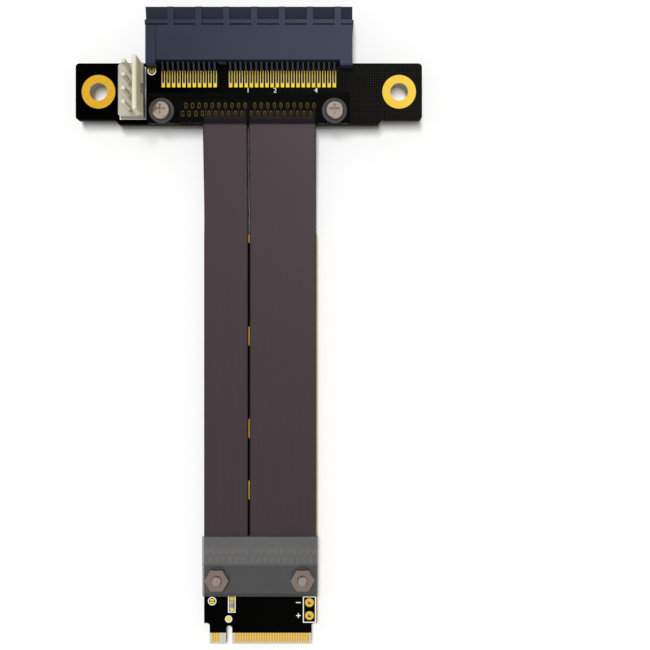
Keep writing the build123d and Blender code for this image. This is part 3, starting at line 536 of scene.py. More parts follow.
def metal(name):
    """The metal of that name: its colour, the limits of its roughness, and what sets it apart."""
    colours = bpy.context.scene.cable_colours
    values, options = {
        # Painted light at the right end and painted shade on the hole walls.
        "gold_flat": ((colours.gold, 0.34, 0.5),
                      {"darkest": 0.93, "right": colours.gold_painted_light_right, "wall": colours.hole_wall_painted_shade}),
        # Painted light: a brighter copy of the gold.
        "gold_landing": ((colours.landing, 0.34, 0.5), {"darkest": 0.93}),
        "gold_finger": ((colours.finger, 0.34, 0.5), {"darkest": 0.93}),
        "solder_bright": ((colours.solder, 0.2, 0.36, 1500.0), {}),
        "contact_metal": ((colours.contact, 0.36, 0.5, 2600.0, (1.0, 0.15, 1.0)), {}),
        # Painted light on the pins' tops.
        "pin_metal": ((colours.pin, 0.28, 0.42, 2400.0, (1.0, 1.0, 0.1)), {"top": 1.28}),
        "wire_tinned": ((colours.wire, 0.3, 0.45, 2600.0, (1.0, 0.1, 1.0)), {}),
        "screw_metal": ((colours.head, 0.26, 0.4, 1800.0), {}),
        # Painted shade: a darker copy of the screw steel.
        "screw_dull": ((colours.screw_end_painted_shade, 0.26, 0.4, 1800.0), {}),
        # Painted highlight on the nuts' bevels and walls.
        "nut_metal": ((colours.nut, 0.3, 0.44, 1600.0), {"slope": 1.5}),
    }[name]
    return once(name, metal_material, *values, **options)


def moulded_material(name, base, scale, roughness, specular, bump=0.18, spread=0.12, lighter=1.0,
                     alpha=1.0, above=None, upper=None, recess_y=None, recess_z=0.0):
    """Moulded plastic or ceramic with fine grain and flow marks.

    Painted light right: tone of its right end, painted light that brightens it towards that end. Above:
    opaque over that Z, and there of the brighter colour upper, which is painted light. Shaded recess:
    painted shade, darker where it lies beyond that Y and below that Z.
    """
    edge = 0.05 * MM
    net = material(name, Specular_IOR_Level=specular, IOR=1.5)
    fine, coarse = net.grain(scale, 1.3)
    flow = net.streaks((0.25, 1.0, 1.0), scale * 0.12, 1.5)
    both = net.times_plus(flow, 0.6, net.times(fine, 0.4))
    tone = net.mix(both, rgba(base, 1 - spread), rgba(base, 1 + spread))
    x, y, z = net.xyz(net.place)
    high = 0.0
    # Painted light towards the right end.
    if lighter != 1.0:
        tone = net.mix(net.rise(x, -20 * MM, 20 * MM), tone, rgba(base, lighter))
    # Opaque over that height, with a brighter colour there that is painted light.
    if above is not None:
        high = net.rise(z, above, above + MM)
        tone = net.mix(high, tone, rgba(upper))
    # Painted shade in the recess.
    if recess_y is not None:
        beyond = net.rise(y, recess_y, recess_y + edge)
        below = net.rise(z, recess_z, recess_z - edge)
        tone = net.mix(net.times(beyond, below), tone, rgba(base, 0.78))
    if alpha < 1.0:
        density = net.between(fine, alpha - 0.02, alpha + 0.02)
        net.tree.links.new(net.most(density, high), net.shader["Alpha"])
    return paint(net, tone, net.between(coarse, roughness - 0.06, roughness + 0.06), fine, bump)


def jacket_material(name):
    """Drawn satin jacket with faint lines, with painted light towards the slot end and the right side,
    and painted shade at its edges.
    """
    base = bpy.context.scene.cable_colours.jacket
    net = material(name, Specular_IOR_Level=0.12, IOR=1.5)
    fine, coarse = net.grain(4200.0, 1.4)
    drawn = net.streaks((1.0, 0.012, 1.0), 2600.0, 1.8)
    both = net.times_plus(drawn, 0.55, net.times(fine, 0.45))
    x, y, _ = net.xyz(net.place)
    tone = net.mix(both, rgba(base, 0.9), rgba(base, 1.05))
    # Painted light: brighter towards the slot and towards the right.
    along = net.power(net.rise(y, -45 * MM, 42 * MM), 2.0)
    across = net.between(net.rise(x, -9 * MM, 13 * MM), 0.45, 1.0)
    tone = net.mix(net.times(along, across), tone, rgba(base, 1.75))
    # Painted shade: darker where the rounded edges turn away from above.
    tone = net.mix(net.rise(net.facing("Normal")[2], 0.97, 0.55), tone, rgba(base, 0.3))
    return paint(net, tone, net.between(coarse, 0.44, 0.56), both, 0.16)


def cover_material(name, base, alpha, other=None, split_y=0.0):
    """See-through sheet with fine scuffs, and another tone beyond a line across it."""
    net = material(name, Specular_IOR_Level=0.1, IOR=1.12)
    fine, coarse = net.grain(1800.0, 1.4)
    scuffs = net.streaks((0.1, 1.0, 1.0), 1800.0, 2.2)
    tone = net.mix(coarse, rgba(base, 0.94), rgba(base, 1.06))
    if other is not None:
        second = net.mix(coarse, rgba(other, 0.94), rgba(other, 1.06))
        tone = net.mix(net.more(net.xyz(net.place)[1], split_y), tone, second)
    net.tree.links.new(net.between(scuffs, alpha - 0.01, alpha + 0.01), net.shader["Alpha"])
    return paint(net, tone, net.between(scuffs, 0.16, 0.3), fine, 0.05)


def ink_material(name):
    """Printed ink, slightly broken by the screen's mesh."""
    base = bpy.context.scene.cable_colours.ink
    net = material(name, Specular_IOR_Level=0.2)
    fine, coarse = net.grain(9000.0, 1.6)
    tone = net.mix(fine, rgba(base, 0.82), rgba(base, 1.04))
    return paint(net, tone, net.between(coarse, 0.5, 0.7), fine, 0.2)


def finish(*names, using):
    """Gives CAD nodes a material."""
    for name in names:
        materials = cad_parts[name].data.materials
        materials.clear()
        materials.append(using)


# Meshes


def solids_of(name):
    """Lowest and highest corner of each separate solid of a CAD node."""
    shape = bmesh.new()
    shape.from_mesh(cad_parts[name].data)
    bmesh.ops.remove_doubles(shape, verts=shape.verts, dist=1e-6)
    boxes, seen = [], set()
    for start in shape.verts:
        if start in seen:
            continue
        group, waiting = [], [start]
        seen.add(start)
        while waiting:
            vertex = waiting.pop()
            group.append(vertex.co)
            for edge in vertex.link_edges:
                other = edge.other_vert(vertex)
                if other not in seen:
                    seen.add(other)
                    waiting.append(other)
        boxes.append(tuple(
            Vector([limit(point[axis] for point in group) for axis in range(3)]) for limit in (min, max)
        ))
    shape.free()
    return boxes


def middles(boxes, level=None):
    """Place in the middle of each box, at a height or on the box's underside."""
    return [
        ((low.x + high.x) / 2, (low.y + high.y) / 2, low.z if level is None else level)
        for low, high in boxes
    ]


def new_object(name, data):
    """Object linked to the scene."""
    made = bpy.data.objects.new(name, data)
    bpy.context.scene.collection.objects.link(made)
    return made


def evaluated_mesh(source):
    """Plain mesh of what an object's modifiers or curve give."""
    seen = source.evaluated_get(bpy.context.evaluated_depsgraph_get())
    return bpy.data.meshes.new_from_object(seen)


def keep(name, mesh, replaced=(), smooth=35.0):
    """Object of a finished mesh, riding on the part."""
    if not mesh.polygons:
        raise RuntimeError(f"{name} came out empty")
    mesh.shade_smooth()
    mesh.set_sharp_from_angle(angle=math.radians(smooth))
    made = new_object(name, mesh)
    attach(made, "root")
    if replaced:
        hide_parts(*replaced)
    return made


def bake(name, source, tree, values, finish_material, replaced=(), smooth=35.0):
    """Runs the tree on places or on a curve, and keeps the result as one plain mesh."""
    if isinstance(source, list):
        places, source = source, bpy.data.meshes.new(name)
        source.from_pydata(places, [], [])
    made = new_object(name, source)
    modifier = made.modifiers.new("Shape", "NODES")
    modifier.node_group = tree
    for item in tree.interface.items_tree:
        if item.in_out == "INPUT" and item.name in values:
            modifier[item.identifier] = values[item.name]
        elif item.in_out == "INPUT" and item.name == "Finish":
            modifier[item.identifier] = finish_material
    mesh = evaluated_mesh(made)
    mesh.name = name
    bpy.data.objects.remove(made)
    return keep(name, mesh, replaced, smooth)


def geometry_tree(name, *labels):
    """Geometry Nodes tree with named inputs."""
    return new_group(name, "GeometryNodeTree", ["Geometry", *labels, "Finish"], ["Geometry"])


def screw_tree():
    """Pan head with a cross recess, over a threaded shank."""
    net = geometry_tree(
        "Pan head screw", "Head diameter", "Head height", "Rounding", "Recess length", "Recess width",
        "Recess depth", "Thread diameter", "Thread pitch", "Length", "Turn",
    )
    given, steepness = net.given, 5.0
    taper_top, taper_foot, taper_sink = 0.33, 0.08, -1.15
    core_share, ridge_share = 0.43, 0.36
    height, radius = given["Head height"], net.over(given["Head diameter"], 2.0)
    head = net.moved(net.cylinder(48, radius, height, 5, 8), net.up(net.over(height, 2.0)))
    x, y, z = net.xyz(net.node("GeometryNodeInputPosition")[0])
    share = net.over(net.root(net.plus(net.power(x, 2.0), net.power(y, 2.0))), radius)
    fall = net.times(net.power(share, steepness), given["Rounding"])
    head = net.reshaped(head, x, y, net.times(z, net.minus(1.0, fall)))

    reach, depth = given["Recess length"], net.times(given["Recess depth"], 2.0)
    size = net.vector(reach, given["Recess width"], depth)
    cutters = []
    for turn in (0.0, math.pi / 2):
        arm = net.node("GeometryNodeMeshCube", {"Size": size})["Mesh"]
        cutters.append(net.moved(arm, net.up(height), (0.0, 0.0, turn)))
    taper = net.cone(24, net.times(reach, taper_top), net.times(reach, taper_foot), depth)
    sunk = net.times_plus(given["Recess depth"], taper_sink, height)
    cutters.append(net.moved(taper, net.up(sunk)))
    head = net.cut_away(head, *cutters)

    shank_length, pitch = given["Length"], given["Thread pitch"]
    core = net.times(given["Thread diameter"], core_share)
    shank = net.moved(net.cylinder(32, core, shank_length), net.up(net.over(shank_length, -2.0)))
    ridge = net.times(pitch, ridge_share)
    radius = net.minus(net.over(given["Thread diameter"], 2.0), ridge)
    helix = net.node("GeometryNodeCurveSpiral", {
        "Resolution": 20, "Rotations": net.minus(net.over(shank_length, pitch), 1.0),
        "Start Radius": radius, "End Radius": radius, "Height": net.minus(shank_length, pitch),
    })[0]
    section = net.node("GeometryNodeCurvePrimitiveCircle", {"Resolution": 4, "Radius": ridge})[0]
    low = net.minus(net.over(pitch, 2.0), shank_length)
    whole = net.joined(head, shank, net.moved(net.swept(helix, section), net.up(low)))
    return net.end(net.moved(whole, turn=given["Turn"]))


def nut_tree():
    """Hexagon nut with coned corners and a countersunk hole."""
    net = geometry_tree("Hexagon nut", "Flats", "Height", "Hole diameter", "Countersink", "Turn")
    height, half = net.given["Height"], net.over(net.given["Flats"], 2.0)
    hole, countersink = net.given["Hole diameter"], net.given["Countersink"]
    cone_share, rim_share, rim_fall, foot_rise = 1.2, 0.96, -0.19, 2.09
    shapes = [net.cylinder(6, net.over(half, math.cos(math.pi / 6)), height)]
    tall = net.times(height, cone_share)
    narrow = net.times_plus(height, rim_fall, net.times(half, rim_share))
    cone = net.cone(64, narrow, net.times_plus(height, foot_rise, half), tall)
    centred = net.moved(cone, net.up(net.over(tall, -2.0)))
    shapes += [net.moved(centred, turn=(flip, 0.0, 0.0)) for flip in (0.0, math.pi)]
    body = net.common(*shapes)
    bore = net.cylinder(36, net.over(hole, 2.0), net.times(height, 2.0))
    wide = net.times_plus(hole, 0.5, countersink)
    bevel = net.cone(36, wide, net.times(wide, 0.5), countersink)
    sunk = net.minus(net.over(height, 2.0), net.times(countersink, 0.5))
    nut = net.moved(
        net.cut_away(body, bore, net.moved(bevel, net.up(sunk))), net.up(net.over(height, 2.0))
    )
    return net.end(net.moved(nut, turn=net.given["Turn"]))


def ring_tree():
    """Plated hole: a flat ring on each face of a board, joined by a barrel."""
    net = geometry_tree("Plated hole", "Ring diameter", "Hole diameter", "Board thickness", "Plating")
    sides = 64
    thickness, plating = net.given["Board thickness"], net.given["Plating"]
    outer = net.over(net.given["Ring diameter"], 2.0)
    hole = net.over(net.given["Hole diameter"], 2.0)
    total = net.times_plus(plating, 2.0, thickness)
    bore, sleeve = (
        net.cylinder(sides, radius, net.times(total, 2.0))
        for radius in (net.minus(hole, plating), hole)
    )
    waste = net.cut_away(net.cylinder(sides, net.times(outer, 2.0), thickness), sleeve)
    return net.end(net.cut_away(net.cylinder(sides, outer, total), waste, bore))


def oval_tree():
    """Oval pad with an oval hole."""
    net = geometry_tree("Oval pad", "Width", "Length", "Hole width", "Hole length", "Plating")
    outlines = [
        net.rounded(net.given[wide], net.given[reach], net.times(net.given[wide], 0.499))
        for wide, reach in (("Width", "Length"), ("Hole width", "Hole length"))
    ]
    return net.end(net.slab(net.joined(*outlines), net.given["Plating"]))


def landing_tree():
    """Landing pad or solder joint: a low plate with rounded corners."""
    net = geometry_tree("Landing pad", "Width", "Length", "Rounding", "Height")
    outline = net.rounded(net.given["Width"], net.given["Length"], net.given["Rounding"])
    return net.end(net.slab(outline, net.given["Height"]))


def jacket_tree():
    """Flat jacket with rounded edges along a curve."""
    net = geometry_tree("Flat jacket", "Width", "Thickness", "Rounding")
    section = net.rounded(net.given["Width"], net.given["Thickness"], net.given["Rounding"], 6)
    level = net.node("GeometryNodeSetCurveNormal", {"Curve": net.given["Geometry"]}, mode="Z_UP")[0]
    return net.end(net.swept(level, section), on_points=False)


def fillet_tree():
    """Solder fillet that rises round a pin."""
    net = geometry_tree("Solder fillet", "Foot radius", "Pin radius", "Height")
    height, hollow = net.given["Height"], -1.1
    cone = net.cone(24, net.given["Pin radius"], net.given["Foot radius"], height, 6)
    x, y, z = net.xyz(net.node("GeometryNodeInputPosition")[0])
    share = net.over(z, height)
    bow = net.times(net.times(share, net.minus(1.0, share)), hollow)
    scale = net.plus(bow, 1.0)
    bowed = net.reshaped(cone, net.times(x, scale), net.times(y, scale), z)
    return net.end(net.moved(bowed, turn=(math.pi, 0.0, 0.0)))


class Print:
    """Raised lines on a board, gathered in one mesh."""

    def __init__(self, low, height=None, line=None):
        sizes = bpy.context.scene.cable_plating
        self.shape, self.low = bmesh.new(), low
        self.height, self.line = height or sizes.print_height, line or sizes.print_line

    def band(self, outer, inner):
        """Closed raised band between two outlines of as many points."""
        high = self.low + self.height
        rows = [
            [self.shape.verts.new((x, y, z)) for x, y in outline]
            for outline, z in ((outer, self.low), (outer, high), (inner, high), (inner, self.low))
        ]
        for index in range(len(outer)):
            after = (index + 1) % len(outer)
            for row in range(4):
                first, second = rows[row], rows[(row + 1) % 4]
                self.shape.faces.new((first[index], first[after], second[after], second[index]))

    def frame(self, left, right, bottom, top):
        """Rectangle, its line inside the given box."""
        outlines = []
        for inset in (0.0, self.line):
            west, east, south, north = left + inset, right - inset, bottom + inset, top - inset
            outlines.append([(west, south), (east, south), (east, north), (west, north)])
        self.band(*outlines)

    def ring(self, x, y, diameter):
        """Circle."""
        steps = 40
        turns = [index * math.tau / steps for index in range(steps)]
        self.band(*(
            [(x + radius * math.cos(turn), y + radius * math.sin(turn)) for turn in turns]
            for radius in (diameter / 2, diameter / 2 - self.line)
        ))

    def bar(self, x, y, half_width, half_height):
        """Bar about its middle."""
        made = bmesh.ops.create_cube(self.shape, size=1.0)["verts"]
        size = Matrix.Diagonal((2 * half_width, 2 * half_height, self.height, 1.0))
        middle = Matrix.Translation((x, y, self.low + self.height / 2))
        bmesh.ops.transform(self.shape, matrix=middle @ size, verts=made)

    def digit(self, text, x, y, size):
        """Digit about its middle."""
        data = bpy.data.curves.new("digit", "FONT")
        data.body, data.size, data.extrude, data.resolution_u = text, size, self.height / 2, 3
        data.align_x, data.align_y = "CENTER", "CENTER"
        source = new_object("digit", data)
        mesh = evaluated_mesh(source)
        mesh.transform(Matrix.Translation((x, y, self.low + self.height / 2)))
        self.shape.from_mesh(mesh)
        bpy.data.objects.remove(source)
        bpy.data.meshes.remove(mesh)

    def keep(self, name, slot, using):
        """Keeps the lines as one piece, its faces outward."""
        bmesh.ops.remove_doubles(self.shape, verts=self.shape.verts, dist=TOUCHING)
        bmesh.ops.recalc_face_normals(self.shape, faces=self.shape.faces)
        mesh = bpy.data.meshes.new(name)
        self.shape.to_mesh(mesh)
        self.shape.free()
        mesh.materials.append(using)
        keep(name, mesh)


# Operators


class CABLE_OT_stage(bpy.types.Operator):
    """Adds the floor, the light and the camera"""

    bl_idname = "cable.stage"
    bl_label = "Stage"

    def execute(self, context):
        scene = context.scene
        stage = scene.cable_stage
        scene.view_settings.view_transform = "Standard"
        mesh = bpy.data.meshes.new("floor")
        reach, low = stage.floor_reach, -0.01 * MM
        corners = [(x * reach, y * reach, low) for x, y in ((-1, -1), (1, -1), (1, 1), (-1, 1))]
        mesh.from_pydata(corners, [], [(0, 1, 2, 3)])
        net = material("floor_paper", Specular_IOR_Level=0.0, Roughness=0.9)
        base = stage.floor_colour
        tone = net.mix(net.grain(400.0, 1.0)[0], rgba(base, 0.995), rgba(base))
        mesh.materials.append(paint(net, tone))
        new_object("floor", mesh)

        box = bpy.data.lights.new("soft_box", "AREA")
        box.shape, box.energy = "RECTANGLE", stage.lamp_power
        box.size, box.size_y = stage.lamp_width, stage.lamp_length
        lamp = new_object("soft_box", box)
        lamp.location = stage.lamp_place
        lamp.rotation_euler = (-Vector(stage.lamp_place)).to_track_quat("-Z", "Y").to_euler()
        lamp.visible_glossy = False

        scene.world = bpy.data.worlds.new("studio")
        scene.world.use_nodes = True
        net = Net(scene.world.node_tree)
        path = net.node("ShaderNodeLightPath")
        mirrored = net.most(path["Is Glossy Ray"], path["Is Transmission Ray"])
        seen = net.most(path["Is Camera Ray"], mirrored)
        strength = net.times_plus(seen, 1.0 - stage.sky_strength, stage.sky_strength)
        background = net.tree.nodes["Background"].inputs
        background["Color"].default_value = (1.0, 1.0, 1.0, 1.0)
        net.tree.links.new(strength, background["Strength"])

        data = bpy.data.cameras.new("camera")
        data.lens, data.sensor_width, data.clip_start, data.clip_end = stage.lens, 36.0, 0.001, 100.0
        scene.camera = new_object("camera", data)
        scene.camera.location = (stage.camera_x, stage.camera_y, stage.camera_height)
        return {"FINISHED"}


class CABLE_OT_boards(bpy.types.Operator):
    """Finishes both boards and the flat pads on them"""

    bl_idname = "cable.boards"
    bl_label = "Boards and pads"

    def execute(self, context):
        low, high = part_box("m2_board")
        bare_end, bare_rim = 2.12 * MM, 0.2 * MM
        finish("slot_board", using=once("slot_board_mask", board_material, 1.0))
        lower = once("m2_board_mask", board_material, 0.25, low.y + bare_end, high.x - bare_rim)
        finish("m2_board", using=lower)
        finish("slot_jumper_pads", "chip_capacitor_pads", "m2_test_pads", using=metal("gold_landing"))
        finish("m2_edge_contacts_front", "m2_edge_contacts_back", using=metal("gold_finger"))
        return {"FINISHED"}


class CABLE_OT_landing_pads(bpy.types.Operator):
    """Makes the landing pads of the slot and solders its contacts to them"""

    bl_idname = "cable.landing_pads"
    bl_label = "Landing pads"

    def execute(self, context):
        sizes = context.scene.cable_plating
        tree = landing_tree()
        boxes = solids_of("slot_contact_pads")
        low, high = boxes[0]
        values = {"Width": sizes.landing_width, "Length": high.y - low.y,
                  "Rounding": 0.08 * MM, "Height": high.z - low.z}
        bake("slot_landing_pads", middles(boxes), tree, values, metal("gold_landing"),
             ["slot_contact_pads"])
        joint_setback = 0.8 * MM
        tail_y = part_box("slot_contacts_front")[0].y + joint_setback
        middle_z = sum(corner.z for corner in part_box("slot_board")) / 2
        places = [
            (x, tail_y, high.z if high.z > middle_z else low.z - sizes.joint_height)
            for (x, _, _), (low, high) in zip(middles(boxes), boxes)
        ]
        values = {"Width": sizes.joint_width, "Length": sizes.joint_length, "Rounding": 0.2 * MM,
                  "Height": sizes.joint_height}
        bake("slot_solder_joints", places, tree, values, metal("solder_bright"))
        return {"FINISHED"}


class CABLE_OT_prints(bpy.types.Operator):
    """Prints the plain frames, rings and digits of both boards"""

    bl_idname = "cable.prints"
    bl_label = "Prints"

    def execute(self, context):
        sizes = context.scene.cable_plating
        ink = once("print_ink", ink_material)
        lines = Print(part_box("slot_board")[1].z)
        low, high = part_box("power_header_housing")
        side_gap, ring = 0.2 * MM, 1.67 * MM
        lines.frame(low.x - side_gap, high.x, low.y - lines.line, high.y)
        x, y, _ = middles([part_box("slot_jumper_pads")])[0]
        lines.ring(x, y, ring)
        row_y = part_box("slot_contact_pads")[0].y - 0.6 * MM
        for text, x in (("1", -0.15 * MM), ("2", 5.06 * MM), ("4", 12.97 * MM)):
            lines.digit(text, x, row_y, sizes.print_digit)
        lines.keep("slot_board_print", "cream_plastic", ink)

        lines = Print(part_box("m2_board")[1].z)
        jumper_ring, test_ring = 1.65 * MM, 1.4 * MM
        *jumper, test = sorted(solids_of("m2_test_pads"), key=lambda box: box[0].x)
        jumper_x = middles(jumper)[0][0]
        jumper_y = (min(low.y for low, _ in jumper) + max(high.y for _, high in jumper)) / 2
        lines.ring(jumper_x, jumper_y, jumper_ring)
        lines.ring(*middles([test])[0][:2], test_ring)
        for name, side, below, above in (
            ("chip_capacitor_pads", 0.33 * MM, 0.32 * MM, 0.32 * MM),
            ("m2_auxiliary_pads", 0.42 * MM, 0.55 * MM, 0.36 * MM),
        ):
            low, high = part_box(name)
            lines.frame(low.x - side, high.x + side, low.y - below, high.y + above)

        mark_gap, mark_setback = 1.3 * MM, 0.85 * MM
        half, thin = 0.45 * MM, 0.09 * MM
        mark_x, minus_y, plus_y = low.x - mark_gap, high.y - mark_setback, low.y + mark_setback
        arm, arm_middle = (half - thin) / 2, (half + thin) / 2
        lines.bar(mark_x, plus_y, half, thin)
        lines.bar(mark_x, plus_y + arm_middle, thin, arm)
        lines.bar(mark_x, plus_y - arm_middle, thin, arm)
        lines.bar(mark_x, minus_y, half, thin)
        lines.keep("m2_board_print", "cream_plastic", ink)
        return {"FINISHED"}


class CABLE_OT_slot(bpy.types.Operator):
    """Finishes the card slot's housing and contacts"""

    bl_idname = "cable.slot"
    bl_label = "Card slot"

    def execute(self, context):
        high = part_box("slot_housing")[1]
        window_reach, window_depth = 2.35 * MM, 0.1 * MM
        # Painted light brightens the housing towards its right end, and painted shade darkens its
        # windows.
        slate = once(
            "slate_moulding", moulded_material, context.scene.cable_colours.slate, 3600.0, 0.52, 0.12,
            bump=0.22, spread=0.1, lighter=1.75, recess_y=high.y - window_reach,
            recess_z=high.z - window_depth,
        )
        finish("slot_housing", using=slate)
        finish("slot_contacts_front", "slot_contacts_back", using=metal("contact_metal"))
        return {"FINISHED"}


class CABLE_OT_header(bpy.types.Operator):
    """Finishes the power header and solders its pins"""

    bl_idname = "cable.header"
    bl_label = "Power header"

    def execute(self, context):
        sizes, colours = context.scene.cable_plating, context.scene.cable_colours
        base_height, pin_radius = 3.0 * MM, 0.36 * MM
        # Painted light: the locking wall above the base gets a brighter cream.
        nylon = once(
            "cream_moulding", moulded_material, colours.cream, 2600.0, 0.5, 0.1, spread=0.07,
            alpha=0.7, above=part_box("power_header_housing")[0].z + base_height,
            upper=colours.cream_wall_painted_light,
        )
        inputs = nylon.node_tree.nodes["Principled BSDF"].inputs
        inputs["Subsurface Weight"].default_value = 0.9
        inputs["Subsurface Radius"].default_value = (1.0, 0.92, 0.78)
        inputs["Subsurface Scale"].default_value = 2.0 * MM
        finish("power_header_housing", using=nylon)
        finish("power_header_pins", using=metal("pin_metal"))
        finish("power_header_pads", using=metal("solder_bright"))
        rings = Print(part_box("slot_board")[1].z, sizes.plating, sizes.pin_ring_width)
        for x, y, _ in middles(solids_of("power_header_pins")):
            rings.ring(x, y, sizes.pin_ring)
        rings.keep("header_rings", "gold_plating", metal("gold_flat"))
        places = middles(solids_of("power_header_pads"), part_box("power_header_pads")[0].z)
        values = {"Foot radius": sizes.fillet_foot, "Pin radius": pin_radius,
                  "Height": sizes.fillet_height}
        bake("header_solder", places, fillet_tree(), values, metal("solder_bright"))
        return {"FINISHED"}


class CABLE_OT_rings(bpy.types.Operator):
    """Plates the mounting holes and the two auxiliary holes"""

    bl_idname = "cable.rings"
    bl_label = "Plated holes"

    def execute(self, context):
        sizes = context.scene.cable_plating
        tree = ring_tree()
        whole_share = 0.75
        for name, board, source, ring, hole in (
            ("slot_plated_holes", "slot_board", "slot_mount_rings", sizes.slot_ring, sizes.mount_hole),
            ("m2_plated_holes", "m2_board", "m2_mount_rings", sizes.m2_ring, sizes.mount_hole),
            ("auxiliary_plated_holes", "m2_board", "m2_auxiliary_pads", sizes.auxiliary_ring,
             sizes.auxiliary_hole),
        ):
            low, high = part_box(board)
            middle_z = (low.z + high.z) / 2
            places = set()
            for first, last in solids_of(source):
                whole = last.y - first.y > ring * whole_share
                y = (first.y + last.y) / 2 if whole else last.y
                places.add((round((first.x + last.x) / 2, 6), round(y, 6), middle_z))
            values = {"Ring diameter": ring, "Hole diameter": hole,
                      "Board thickness": high.z - low.z, "Plating": sizes.plating}
            made = bake(
                name, sorted(places), tree, values, metal("gold_flat"), [source]
            )
            self.trim(made.data, high.y)
        return {"FINISHED"}

    def trim(self, mesh, end_y):
        """Ends the rings at the board's far edge, with the cut closed."""
        shape = bmesh.new()
        shape.from_mesh(mesh)
        bmesh.ops.remove_doubles(shape, verts=shape.verts, dist=TOUCHING)
        if max(vertex.co.y for vertex in shape.verts) > end_y + 1e-6:
            cut = bmesh.ops.bisect_plane(
                shape, geom=shape.verts[:] + shape.edges[:] + shape.faces[:], dist=1e-8,
                plane_co=(0.0, end_y, 0.0), plane_no=(0.0, 1.0, 0.0), clear_outer=True,
            )
            edges = [item for item in cut["geom_cut"] if isinstance(item, bmesh.types.BMEdge)]
            bmesh.ops.holes_fill(shape, edges=edges)
        shape.to_mesh(mesh)
        shape.free()


class CABLE_OT_cable_pads(bpy.types.Operator):
    """Makes the oval solder pads of the ribbon wires"""

    bl_idname = "cable.cable_pads"
    bl_label = "Cable pads"

    def execute(self, context):
        sizes = context.scene.cable_plating
        tree = oval_tree()
        narrowing = 0.78
        for name, source in (("slot_oval_pads", "slot_cable_pads"), ("m2_oval_pads", "m2_cable_pads")):
            boxes = solids_of(source)
            low, high = boxes[0]
            reach = high.y - low.y
            values = {"Width": (high.x - low.x) * narrowing, "Length": reach,
                      "Hole width": sizes.cable_pad_hole,
                      "Hole length": reach - 2 * sizes.cable_pad_rim, "Plating": high.z - low.z}
            bake(name, middles(boxes), tree, values, metal("gold_landing"), [source])
        return {"FINISHED"}


class CABLE_OT_ribbons(bpy.types.Operator):
    """Makes both flat jackets and finishes their stripped wires"""

    bl_idname = "cable.ribbons"
    bl_label = "Ribbons"

    def execute(self, context):
        sizes = context.scene.cable_ribbons
        tree = jacket_tree()
        board_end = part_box("slot_board")[0].y
        board_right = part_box("m2_board")[1].x - MM
        bend_start, drop = board_end - 0.5 * MM, board_end - 2.5 * MM
        bend_end, lying = drop - 13.0 * MM, drop - 17.5 * MM
        half = sizes.jacket_thickness / 2
        for name in ("ribbon_narrow", "ribbon_wide"):
            low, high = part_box(name)
            high.x -= sizes.bare_rim if high.x > board_right else 0.0
            x, width = (low.x + high.x) / 2, high.x - low.x
            top, bottom = high.z - half, low.z + half
            route = [(x, high.y, top), (x, bend_start, top), (x, drop, top),
                     (x, bend_end, bottom), (x, lying, bottom), (x, low.y, bottom)]
            data = self.curve(name + "_route", route)
            line = new_object(data.name, data)
            path = [vertex.co.copy() for vertex in evaluated_mesh(line).vertices]
            bpy.data.objects.remove(line)
            values = {"Width": width, "Thickness": sizes.jacket_thickness,
                      "Rounding": sizes.jacket_rounding}
            jacket = once("jacket_satin", jacket_material)
            made = bake(name + "_jacket", data, tree, values, jacket, [name], 50.0)
            finish(name + "_slot_wires", name + "_m2_wires", using=metal("wire_tinned"))
        return {"FINISHED"}

    def curve(self, name, route):
        """Smooth curve that starts and ends at the route's ends."""
        data = bpy.data.curves.new(name, "CURVE")
        data.dimensions, data.resolution_u = "3D", 16
        spline = data.splines.new("NURBS")
        spline.points.add(len(route) - 1)
        for point, place in zip(spline.points, route):
            point.co = (*place, 1.0)
        spline.order_u, spline.use_endpoint_u = 3, True
        return data


class CABLE_OT_covers(bpy.types.Operator):
    """Finishes the two see-through clamp plates"""

    bl_idname = "cable.covers"
    bl_label = "Clamp plates"

    def execute(self, context):
        colours = context.scene.cable_colours
        hood_depth = 5.5 * MM
        step_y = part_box("m2_cover")[1].y - hood_depth
        finish("slot_cover", using=once("cover_black", cover_material, colours.black_cover, 0.45))
        grey = once("cover_grey", cover_material, colours.grey_foot, 0.52, colours.grey_hood, step_y)
        finish("m2_cover", using=grey)
        return {"FINISHED"}


class CABLE_OT_screws(bpy.types.Operator):
    """Makes the four pan head screws"""

    bl_idname = "cable.screws"
    bl_label = "Screws"

    def execute(self, context):
        sizes = context.scene.cable_fasteners
        tree = screw_tree()
        for name, source, turn, steel in (
            ("slot_screws", "slot_clamp_screws", 0.0, "screw_metal"),
            ("m2_screws", "m2_clamp_screws", math.pi, "screw_dull"),
        ):
            boxes = solids_of(source)
            low, high = boxes[0]
            base = low.z + sizes.head_height if turn else high.z - sizes.head_height
            values = {
                "Head diameter": sizes.head_diameter, "Head height": sizes.head_height,
                "Rounding": sizes.head_rounding, "Recess length": sizes.recess_length,
                "Recess width": sizes.recess_width, "Recess depth": sizes.recess_depth,
                "Thread diameter": sizes.thread_diameter, "Thread pitch": sizes.thread_pitch,
                "Length": high.z - low.z - sizes.head_height, "Turn": (turn, 0.0, 0.0),
            }
            bake(name, middles(boxes, base), tree, values, metal(steel), [source])
        return {"FINISHED"}


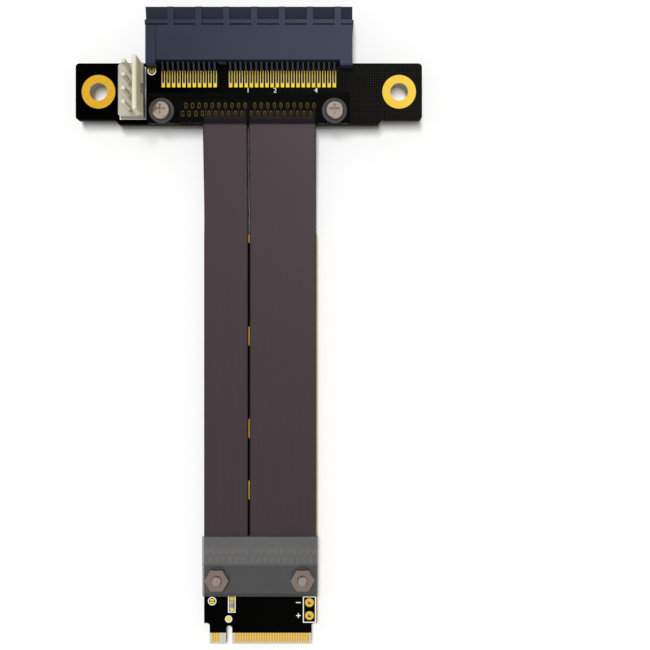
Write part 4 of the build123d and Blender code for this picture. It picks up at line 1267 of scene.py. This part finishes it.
class CABLE_OT_nuts(bpy.types.Operator):
    """Makes the four nuts and finishes the washers"""

    bl_idname = "cable.nuts"
    bl_label = "Nuts and washers"

    def execute(self, context):
        sizes = context.scene.cable_fasteners
        tree = nut_tree()
        for name, source, turn in (
            ("slot_nuts", "slot_clamp_nuts", math.pi), ("m2_nuts", "m2_clamp_nuts", 0.0),
        ):
            boxes = solids_of(source)
            base = boxes[0][1].z if turn else boxes[0][0].z
            values = {
                "Flats": sizes.nut_flats, "Height": sizes.nut_height,
                "Hole diameter": sizes.nut_hole, "Countersink": sizes.nut_countersink,
                "Turn": (turn, 0.0, 0.0),
            }
            bake(name, middles(boxes, base), tree, values, metal("nut_metal"), [source])
        colour = context.scene.cable_colours.washer
        grey = once("washer_metal", moulded_material, colour, 2600.0, 0.45, 0.3)
        finish("slot_clamp_washers", "m2_clamp_washers", using=grey)
        return {"FINISHED"}


class CABLE_OT_capacitor(bpy.types.Operator):
    """Finishes the chip capacitor"""

    bl_idname = "cable.capacitor"
    bl_label = "Chip capacitor"

    def execute(self, context):
        colour = context.scene.cable_colours.ceramic
        body = once("capacitor_body", moulded_material, colour, 5200.0, 0.6, 0.3, 0.3, 0.2)
        finish("chip_capacitor", using=body)
        finish("chip_capacitor_ends", using=metal("solder_bright"))
        return {"FINISHED"}


class CABLE_PT_pieces(bpy.types.Panel):
    """Lists the pieces and their settings"""

    bl_label = "Extension cable"
    bl_idname = "CABLE_PT_pieces"
    bl_space_type = "VIEW_3D"
    bl_region_type = "UI"
    bl_category = "Extension cable"

    def draw(self, context):
        for group, place in GROUPS:
            box = self.layout.box()
            for name in group.__annotations__:
                box.prop(getattr(context.scene, place), name)
        for operator in OPERATORS:
            self.layout.operator(operator.bl_idname)


GROUPS = (
    (FastenerSizes, "cable_fasteners"),
    (PlatingSizes, "cable_plating"),
    (RibbonSizes, "cable_ribbons"),
    (FinishColours, "cable_colours"),
    (StageSettings, "cable_stage"),
)
OPERATORS = (
    CABLE_OT_stage, CABLE_OT_boards, CABLE_OT_landing_pads, CABLE_OT_prints, CABLE_OT_slot,
    CABLE_OT_header, CABLE_OT_rings, CABLE_OT_cable_pads, CABLE_OT_ribbons, CABLE_OT_covers,
    CABLE_OT_screws, CABLE_OT_nuts, CABLE_OT_capacitor,
)


def register():
    """Registers the settings, the operators and the panel."""
    for group, name in GROUPS:
        bpy.utils.register_class(group)
        setattr(bpy.types.Scene, name, PointerProperty(type=group))
    for operator in (*OPERATORS, CABLE_PT_pieces):
        bpy.utils.register_class(operator)


def unregister():
    """Takes them out again."""
    for operator in (CABLE_PT_pieces, *reversed(OPERATORS)):
        bpy.utils.unregister_class(operator)
    for group, name in reversed(GROUPS):
        delattr(bpy.types.Scene, name)
        bpy.utils.unregister_class(group)


def main():
    """Builds the scene."""
    register()
    for operator in OPERATORS:
        group, name = operator.bl_idname.split(".")
        getattr(getattr(bpy.ops, group), name)()


if __name__ == "__main__":
    main()
